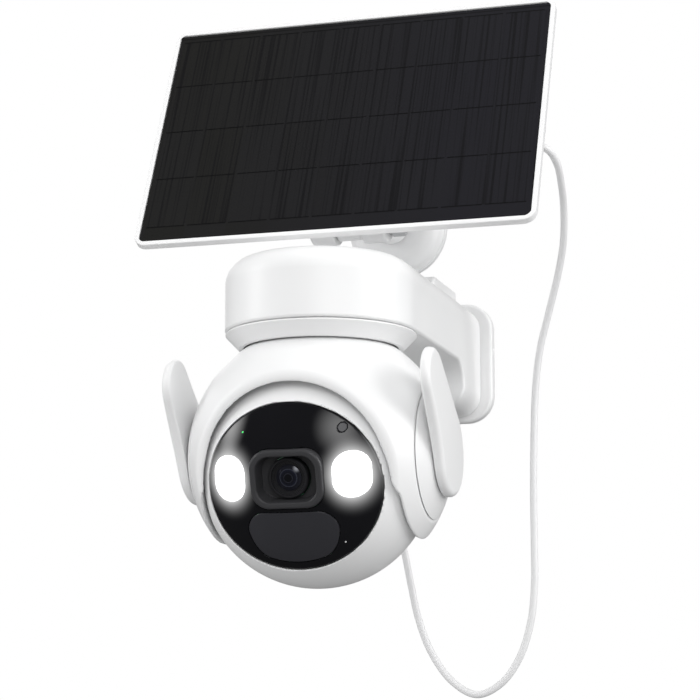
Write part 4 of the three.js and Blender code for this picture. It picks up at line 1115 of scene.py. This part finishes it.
def makeLens(s):
    floor, under = s["floor"], s["floor"] - s["under"]

    def hood(p):
        x, y, z = p[..., 0], p[..., 1] - s["v"], p[..., 2]
        body = meet(meet(hoodDistance(p), z - s["front"], s["edge"]), under - z, 0.2)
        slant = (z - floor) * s["draft"] - s["foot"]
        dish = rectDistance(x, y, s["openWidth"] / 2 + slant, s["openHeight"] / 2 + slant, s["dishCorner"])
        body = cut(body, np.maximum(dish, floor - z), 0.7)
        return cut(body, np.hypot(x, y) - s["barrel"] - s["gap"], 0.2)

    low = (-s["width"] / 2, s["v"] - s["height"] / 2, under)
    high = (s["width"] / 2, s["v"] + s["height"] / 2, s["front"])
    shroud = carved("lens_shroud", hood, low, high, 0.4, hoodPlastic, ballPlace)
    settle(shroud, "ball", "black_plastic", "lens_hood")
    lensPlace = Place(ballPlace.out([0, s["v"], 0]), axes=ballPlace.axes)
    profile = [(s["barrel"], s["barrelFrom"]), *[(r, floor + z) for r, z in s["steps"]]]
    barrel = turnedPiece("lens_barrel_rings", profile, blackPlastic, lensPlace, 96)
    settle(barrel, "ball", "black_plastic", "lens_barrel")
    low = floor + s["glassLow"]
    dome = [(s["glass"], low), *arc(0, low - s["glassMiddle"], s["glassDome"], 58, 89.5, 12)]
    glass = turnedPiece("front_element", dome, coatedOptic, lensPlace, 72)
    settle(glass, "ball", "optic_glass", "lens_glass")


def makeService(s):
    r = ballSettings["radius"]

    def plug(p):
        far = np.linalg.norm(p, axis=-1)
        body = meet(far - r - s["proud"], r - s["thick"] - far, 0.3)
        body = meet(body, sizedRect(p[..., 0], p[..., 1], s), 0.4)
        grip = rectDistance(p[..., 0] - s["gripX"], p[..., 1], *s["grip"])
        return cut(body, np.maximum(grip, r - s["gripDeep"] - p[..., 2]), 0.3)

    piece = carved("service_cover", plug, *s["box"], 0.35, softRubber, servicePlace)
    settle(piece, "service_plug", "soft_rubber", "service_plug")
    button = turnedPiece("reset_cap", s["cap"], blackPlastic, servicePlace, 32)
    settle(button, "reset_button", "black_plastic", "reset_button")


screwSettings = {"seat": -39.5, "steps": 36, "profile": [
    (1.3, -22.0), (1.3, -0.1), (2.6, -0.1), (2.6, 1.1), (1.9, 1.8), (1.3, 2.0), (1.2, 0.9),
]}


def makeBallScrews(s):
    item = turnedPiece("screw", s["profile"], steel, steps=s["steps"])
    backwards = ballPlace.axes * np.array([[-1], [1], [-1]])
    place, x = Place(ballPlace.out([0, 0, s["seat"]]), axes=backwards), ballSettings["screwX"] * toMetres
    screws = repeated("ball_screws", item, steel, place, 2, (-x, 0, 0), (2 * x, 0, 0))
    settle(screws, "ball", "steel", "ball_screw_1", "ball_screw_2")


makeBall(ballSettings)
makeFace(faceSettings, lampSettings)
makeLens(lensSettings)
makeService(serviceSettings)
makeBallScrews(screwSettings)
print("ball and face")

# Solar panel.
# reflectionWidth is the span of a painted reflection that turns the cells bluer across the sheet
solarSettings = {"cellWidth": 0.0199, "rowHeight": 0.0281, "lowRow": -0.0546, "columns": 9, "rows": 4,
                 "rowLine": 0.00028, "columnGap": 0.0007, "topLine": (0.0601, 0.00022), "reflectionWidth": 0.12,
                 "fingers": (760.0, 7.0, 1.0)}


def makeSolarGroup(s):
    sockets = {"Place": None, "Cell Width": s["cellWidth"], "Row Height": s["rowHeight"],
               "Low Row": s["lowRow"]}
    tree, given, made = makeGroup("solar cells", sockets, ["Line", "Finger", "Cell", "Side"])

    def m(kind, *inputs):
        return maths(tree, kind, *inputs)

    def apart(first, second):
        return m("ABSOLUTE", m("SUBTRACT", first, second))

    split = addNode(tree, "ShaderNodeSeparateXYZ", {0: given["Place"]}).outputs
    halfAcross, halfUp = s["columns"] / 2, s["rows"] / 2
    across = m("ADD", m("DIVIDE", split["X"], given["Cell Width"]), halfAcross)
    up = m("DIVIDE", m("SUBTRACT", split["Y"], given["Low Row"]), given["Row Height"])
    nearRow = m("MULTIPLY", apart(up, m("ROUND", up)), given["Row Height"])
    nearColumn = m("MULTIPLY", apart(across, m("ROUND", across)), given["Cell Width"])
    dash = m("MULTIPLY", m("LESS_THAN", nearRow, s["rowLine"]), m("GREATER_THAN", nearColumn, s["columnGap"]))
    # the row lines stop just short of the sides, and run along the first and last row's outer edges
    within = m("MULTIPLY", m("LESS_THAN", apart(across, halfAcross), halfAcross - 0.03),
               m("LESS_THAN", apart(up, halfUp), halfUp + 0.1))
    edge = m("LESS_THAN", apart(split["Y"], s["topLine"][0]), s["topLine"][1])
    stretched = vectorMaths(tree, "MULTIPLY", given["Place"], s["fingers"])
    finger = mapped(tree, noise(tree, stretched, 1.0, 1.0)["Fac"], 0.0, 1.0, 0.5, 0.64)
    number = m("ADD", m("FLOOR", across), m("MULTIPLY", m("FLOOR", up), 17.0))
    cell = addNode(tree, "ShaderNodeTexWhiteNoise", {"W": number}, noise_dimensions="1D").outputs["Value"]
    fill(made, {
        "Line": m("MAXIMUM", m("MULTIPLY", dash, within), edge),
        "Finger": m("MULTIPLY", finger, m("LESS_THAN", apart(up, halfUp), halfUp)),
        # painted reflection: bluer towards +X across the sheet
        "Cell": cell, "Side": m("ADD", m("DIVIDE", split["X"], s["reflectionWidth"]), 0.5),
    })
    return tree


def makeSolarMaterial(s):
    material, tree, shader, place = makeMaterial("solar_cells")
    cells = useGroup(tree, makeSolarGroup(s), spotOf(tree))
    # painted reflection: the cells' colour turns bluer across the sheet towards +X
    tone = blendColours(tree, cells["Side"], rgb(0.0138, 0.0136, 0.0128), rgb(0.0138, 0.0134, 0.0178))
    plain = blendColours(tree, mapped(tree, cells["Cell"], 0.0, 0.35), tone, rgb(0.0158, 0.0158, 0.0184))
    fingers = maths(tree, "MULTIPLY", cells["Finger"], 0.75)
    lined = blendColours(tree, fingers, plain, rgb(0.0062, 0.006, 0.0072))
    surface = useGroup(tree, mouldedGroup, place, Grain=1600.0, Drift=14.0)
    fill(shader, {
        "Base Color": blendColours(tree, cells["Line"], lined, rgb(0.002, 0.002, 0.0025)),
        "Roughness": mapped(tree, surface["Gloss"], 0.3, 0.42, 0.4, 1.1), "Specular IOR Level": 0.2,
    })
    bumped(tree, shader, surface["Height"], 0.00002)
    return material


solarCells = makeSolarMaterial(solarSettings)


def makePanel(s):
    side, edge, back, lip = s["taper"], -s["edge"], -s["depth"], s["lip"]
    profile = [
        (side + 1.4, back), (side + 0.4, back + 0.4), (side, back + 1.4), (side, edge - 0.6),
        *arc(side, edge - 0.6, 0.6, 180, 90, 4)[2:], (0.5, edge), (0.0, edge + 0.5), (0.0, -0.15),
        (0.16, 0.23),
        (0.55, lip), (1.95, lip), (2.2, 0.3), (2.3, 0.05), (2.3, -s["laminate"] - 0.3),
    ]

    def trayOutline(inset):
        corner = s["pocketCorner"] if 2 < inset < 3 else s["corner"]
        return rectOutline(s["width"], s["height"], corner)(inset)

    tray = stacked("panel_tray", trayOutline, profile, whiteGloss, panelPlace)
    settle(tray, "panel", "white_plastic", "panel_frame")
    sheetOutline = rectOutline(s["width"] - 2 * s["rim"], s["height"] - 2 * s["rim"], s["sheetCorner"])
    glass = stacked("cell_sheet", sheetOutline, [(0.0, -s["laminate"]), (0.0, -0.25), (0.25, 0.0)],
                    solarCells,
                    panelPlace)
    settle(glass, "panel", "solar_glass", "solar_laminate")


junctionSettings = {"x": 48.0, "y": -12.0, "width": 46.0, "height": 34.0, "corner": 6.0, "low": -18.3,
                    "top": -7.3}
glandSettings = {"radius": 4.4, "tip": 2.6, "length": 12.0, "coneHigh": 11.2, "bands": 3, "bandFrom": 5.0,
                 "bandStep": 1.6, "band": [(2.9, -0.45), (3.75, -0.3), (3.75, 0.3), (2.9, 0.45)]}


def makeJunction(s, g):
    low = s["low"]
    profile = [(1.8, low), (0.6, low + 0.5), (0.0, low + 1.7), (0.0, low + 3.4), (0.35, low + 3.5),
               (0.35, low + 3.9), (0.0, low + 4.0), (0.0, s["top"])]
    place = Place(panelPlace.out([s["x"], s["y"], 0]), axes=panelPlace.axes)
    box = stacked("cable_box", rectOutline(s["width"], s["height"], s["corner"]), profile, whitePlastic,
                  place)
    settle(box, "panel", "white_plastic", "junction_box")
    spot = panelPlace.out([s["x"] + s["width"] / 2 + 0.3, s["y"], (low + s["top"]) / 2])
    glandPlace, r, tip = Place(spot, axes=panelPlace.axes[[1, 2, 0]]), g["radius"], g["tip"]
    profile = [(r - 0.1, 0.0), (r, 0.4), (r, 2.6), (r - 0.5, 3.2), (tip + 0.25, g["coneHigh"]),
               (tip, g["length"])]
    sleeve = turnedPiece("gland_sleeve", profile, whitePlastic, glandPlace, 40)
    settle(sleeve, "panel", "white_plastic", "cable_gland")
    band = turnedPiece("gland_band", g["band"], whitePlastic, steps=40, loop=True)
    start, step = (0, 0, g["bandFrom"] * toMetres), (0, 0, g["bandStep"] * toMetres)
    settle(repeated("gland_ribs", band, whitePlastic, glandPlace, g["bands"], start, step), "panel",
           "white_plastic")


knuckleSettings = {"y": -38.0, "z": -26.0, "half": 18.0, "slot": 6.3, "radius": 11.0, "hole": 3.3,
                   "front": -7.3,
                   "foot": (25, 17, 6), "footY": 6.0, "footHigh": 3.0, "slant": 4.0, "slotY": 1.5,
                   "slotHalf": 17.5, "box": ((-25, -55, -37), (25, -15, -7.3))}


def makeKnuckle(s):
    front = s["front"]

    def field(p):
        x, y, z = p[..., 0], p[..., 1] - s["y"], p[..., 2] - s["z"]
        rise = front - s["z"]
        slant = (y - s["radius"] - s["slant"] * z / rise) * 0.98
        post = np.maximum(np.maximum(slant, -y - s["radius"]), np.maximum(-z, z - rise))
        side = np.minimum(np.hypot(y, z) - s["radius"], post)
        body = meet(np.abs(x) - s["half"], side, 1.3)
        footHalf = s["footHigh"] / 2
        foot = rectDistance(x, y - s["footY"], *s["foot"])
        foot = meet(foot, np.abs(p[..., 2] - front + footHalf) - footHalf, 0.7)
        body = meet(join(body, foot, 2.5), p[..., 2] - front, 0.2)
        slot = np.maximum(np.abs(x) - s["slot"], np.abs(y - s["slotY"]) - s["slotHalf"])
        slot = np.maximum(slot, p[..., 2] - front + s["footHigh"])
        return cut(cut(body, slot, 0.6), np.hypot(y, z) - s["hole"], 0.3)

    whiteMoulding("hinge_bracket", "panel", "panel_knuckle", field, *s["box"], 0.7, panelPlace)


panelArmSettings = {"root": 9.4, "end": 8.0, "tongue": 6.0, "eye": 9.2, "stop": 15.2, "reach": 68.8,
                    "hole": 3.3, "neckFrom": 11.2, "growFrom": 19.2, "neckLong": 52.3,
                    "box": ((-10, -10, -10), (10, 69, 10))}
wallFootSettings = {"z": 69.0, "radius": 24.5, "rim": 4.0, "depth": 13.0, "neck": 14.0, "edge": 0.8}


def makePanelMount(s, w):
    start = np.array([0, -w["depth"] - 0.3, w["z"]])
    along = start - panelPivot
    lean = math.degrees(math.atan2(along[2], along[1]))

    def field(p):
        x, y, z = parts(p)
        grow = np.clip((y - s["growFrom"]) / s["neckLong"], 0, 1) * (s["root"] - s["end"])
        neck = meet(np.hypot(x, z) - s["end"] - grow, s["neckFrom"] - y, 2.5)
        neck = meet(neck, y - s["reach"], 0.4)
        blade = np.maximum(np.maximum(-y, y - s["stop"]), np.abs(z) - s["end"] + 1)
        eye = np.minimum(np.hypot(y, z) - s["eye"], blade)
        body = join(neck, meet(np.abs(x) - s["tongue"], eye, 0.9), 1.6)
        return cut(body, np.hypot(y, z) - s["hole"], 0.3)

    whiteMoulding("panel_strut", "root", "panel_arm", field, *s["box"], 0.6, Place(panelPivot, lean))
    r, rim, edge, neck = w["radius"], w["rim"], w["edge"], w["neck"]
    profile = [(r - edge / 2, 0.0), (r, edge / 2), (r, rim - edge),
               *arc(r - edge, rim - edge, edge, 10, 80, 4),
               *arc(neck, rim, w["depth"] - rim, 8, 88, 12), (neck - 1.5, w["depth"])]
    foot = turnedPiece("panel_foot", profile, whitePlastic, Place((0, 0, w["z"]), axes=frontAxes), 96)
    settle(foot, "root", "white_plastic", "panel_wall_base")


knobSettings = {"radius": 9.0, "lobes": 6, "depth": 0.9, "near": 18.6, "far": 25.6, "bore": 3.3,
                "recess": 21.9, "fade": 3.0}
pinSettings = {"seat": 18.3, "radius": 3.0, "head": 5.4, "bevel": 0.5, "headHigh": 2.4, "tail": 3.0}


def makeKnob(s, pin):
    turn = np.arange(s["lobes"] * 16) * 2 * math.pi / (s["lobes"] * 16)

    def outline(inset):
        wave = s["depth"] * np.cos(s["lobes"] * turn) * max(0.0, 1 - inset / s["fade"])
        reach = s["radius"] - s["depth"] + wave - inset
        return np.stack([reach * np.cos(turn), reach * np.sin(turn)], -1)

    bore, near, far = s["radius"] - s["depth"] - s["bore"], s["near"], s["far"]
    profile = [(bore, s["recess"]), (bore, near), (0.7, near), (0.0, near + 0.7), (0.0, far - 1.2),
               (0.35, far - 0.35), (1.2, far), (3.0, far), (3.5, far - 0.6)]
    place = Place(panelPivot, axes=acrossAxes)
    knob = stacked("hinge_knob", outline, profile, greyPlastic, place)
    settle(knob, "clamp_knob", "grey_plastic", "clamp_knob")
    r, head, bevel, seat = pin["radius"], pin["head"], pin["bevel"], pin["seat"]
    under, end = -seat - pin["headHigh"], seat + pin["tail"]
    profile = [(r + 0.2, under), (head - bevel, under), (head, under + bevel), (head, -seat), (r, -seat),
               (r, end - 0.4), (r - 0.4, end)]
    settle(turnedPiece("hinge_pin", profile, steel, place, 48), "root", "steel", "panel_hinge_pin")


makePanel(panelSettings)
makeJunction(junctionSettings, glandSettings)
makeKnuckle(knuckleSettings)
makePanelMount(panelArmSettings, wallFootSettings)
makeKnob(knobSettings, pinSettings)
print("panel and its mount")

# What is kept from the CAD, and the floor.
keptLooks = {
    "power_socket": blackPlastic, "base_chassis": blackPlastic, "pan_bearing": steel, "pan_motor": motorCan,
    "pan_pinion": gearPlastic, "battery_cell_left": cellWrap, "battery_cell_right": cellWrap,
    "battery_tray": blackPlastic, "turntable_hub": blackPlastic, "pan_ring_gear": gearPlastic,
    "base_screw_1": steel, "base_screw_2": steel, "base_screw_3": steel, "left_antenna_pivot": steel,
    "right_antenna_pivot": steel, "tilt_shaft_left": steel, "tilt_shaft_right": steel,
    "tilt_gear": gearPlastic,
    "tilt_pinion": gearPlastic, "tilt_motor": motorCan, "tilt_bush_left": gearPlastic,
    "tilt_bush_right": gearPlastic, "main_board": circuitBoard, "pir_sensor": steel, "speaker": blackPlastic,
}
for name, look in keptLooks.items():
    node = bpy.data.objects[name]
    node.data.materials.clear()
    node.data.materials.append(look)


floorSettings = {"profile": [(6000, 30), (5200, 3), (4000, 0.0), (50, 0.0)], "z": -1200, "steps": 96}


def makeFloor(s):
    n, rings = s["steps"], len(s["profile"])
    points = [np.column_stack([roundOutline(n)(r), np.full(n, z + s["z"])]) for r, z in s["profile"]]
    faces = [(a * n + i, (a + 1) * n + i, (a + 1) * n + (i + 1) % n, a * n + (i + 1) % n)
             for a in range(rings - 1) for i in range(n)]
    faces.append(tuple((rings - 1) * n + i for i in range(n)))
    look = plasticMaterial("pale_floor", (0.8, 0.8, 0.8), (0.84, 0.84, 0.84), 0.7, 300.0)
    floor = makeObject("floor", np.concatenate(points), faces, look)
    floor.visible_glossy = floor.visible_diffuse = False


makeFloor(floorSettings)
print("kept nodes and floor")
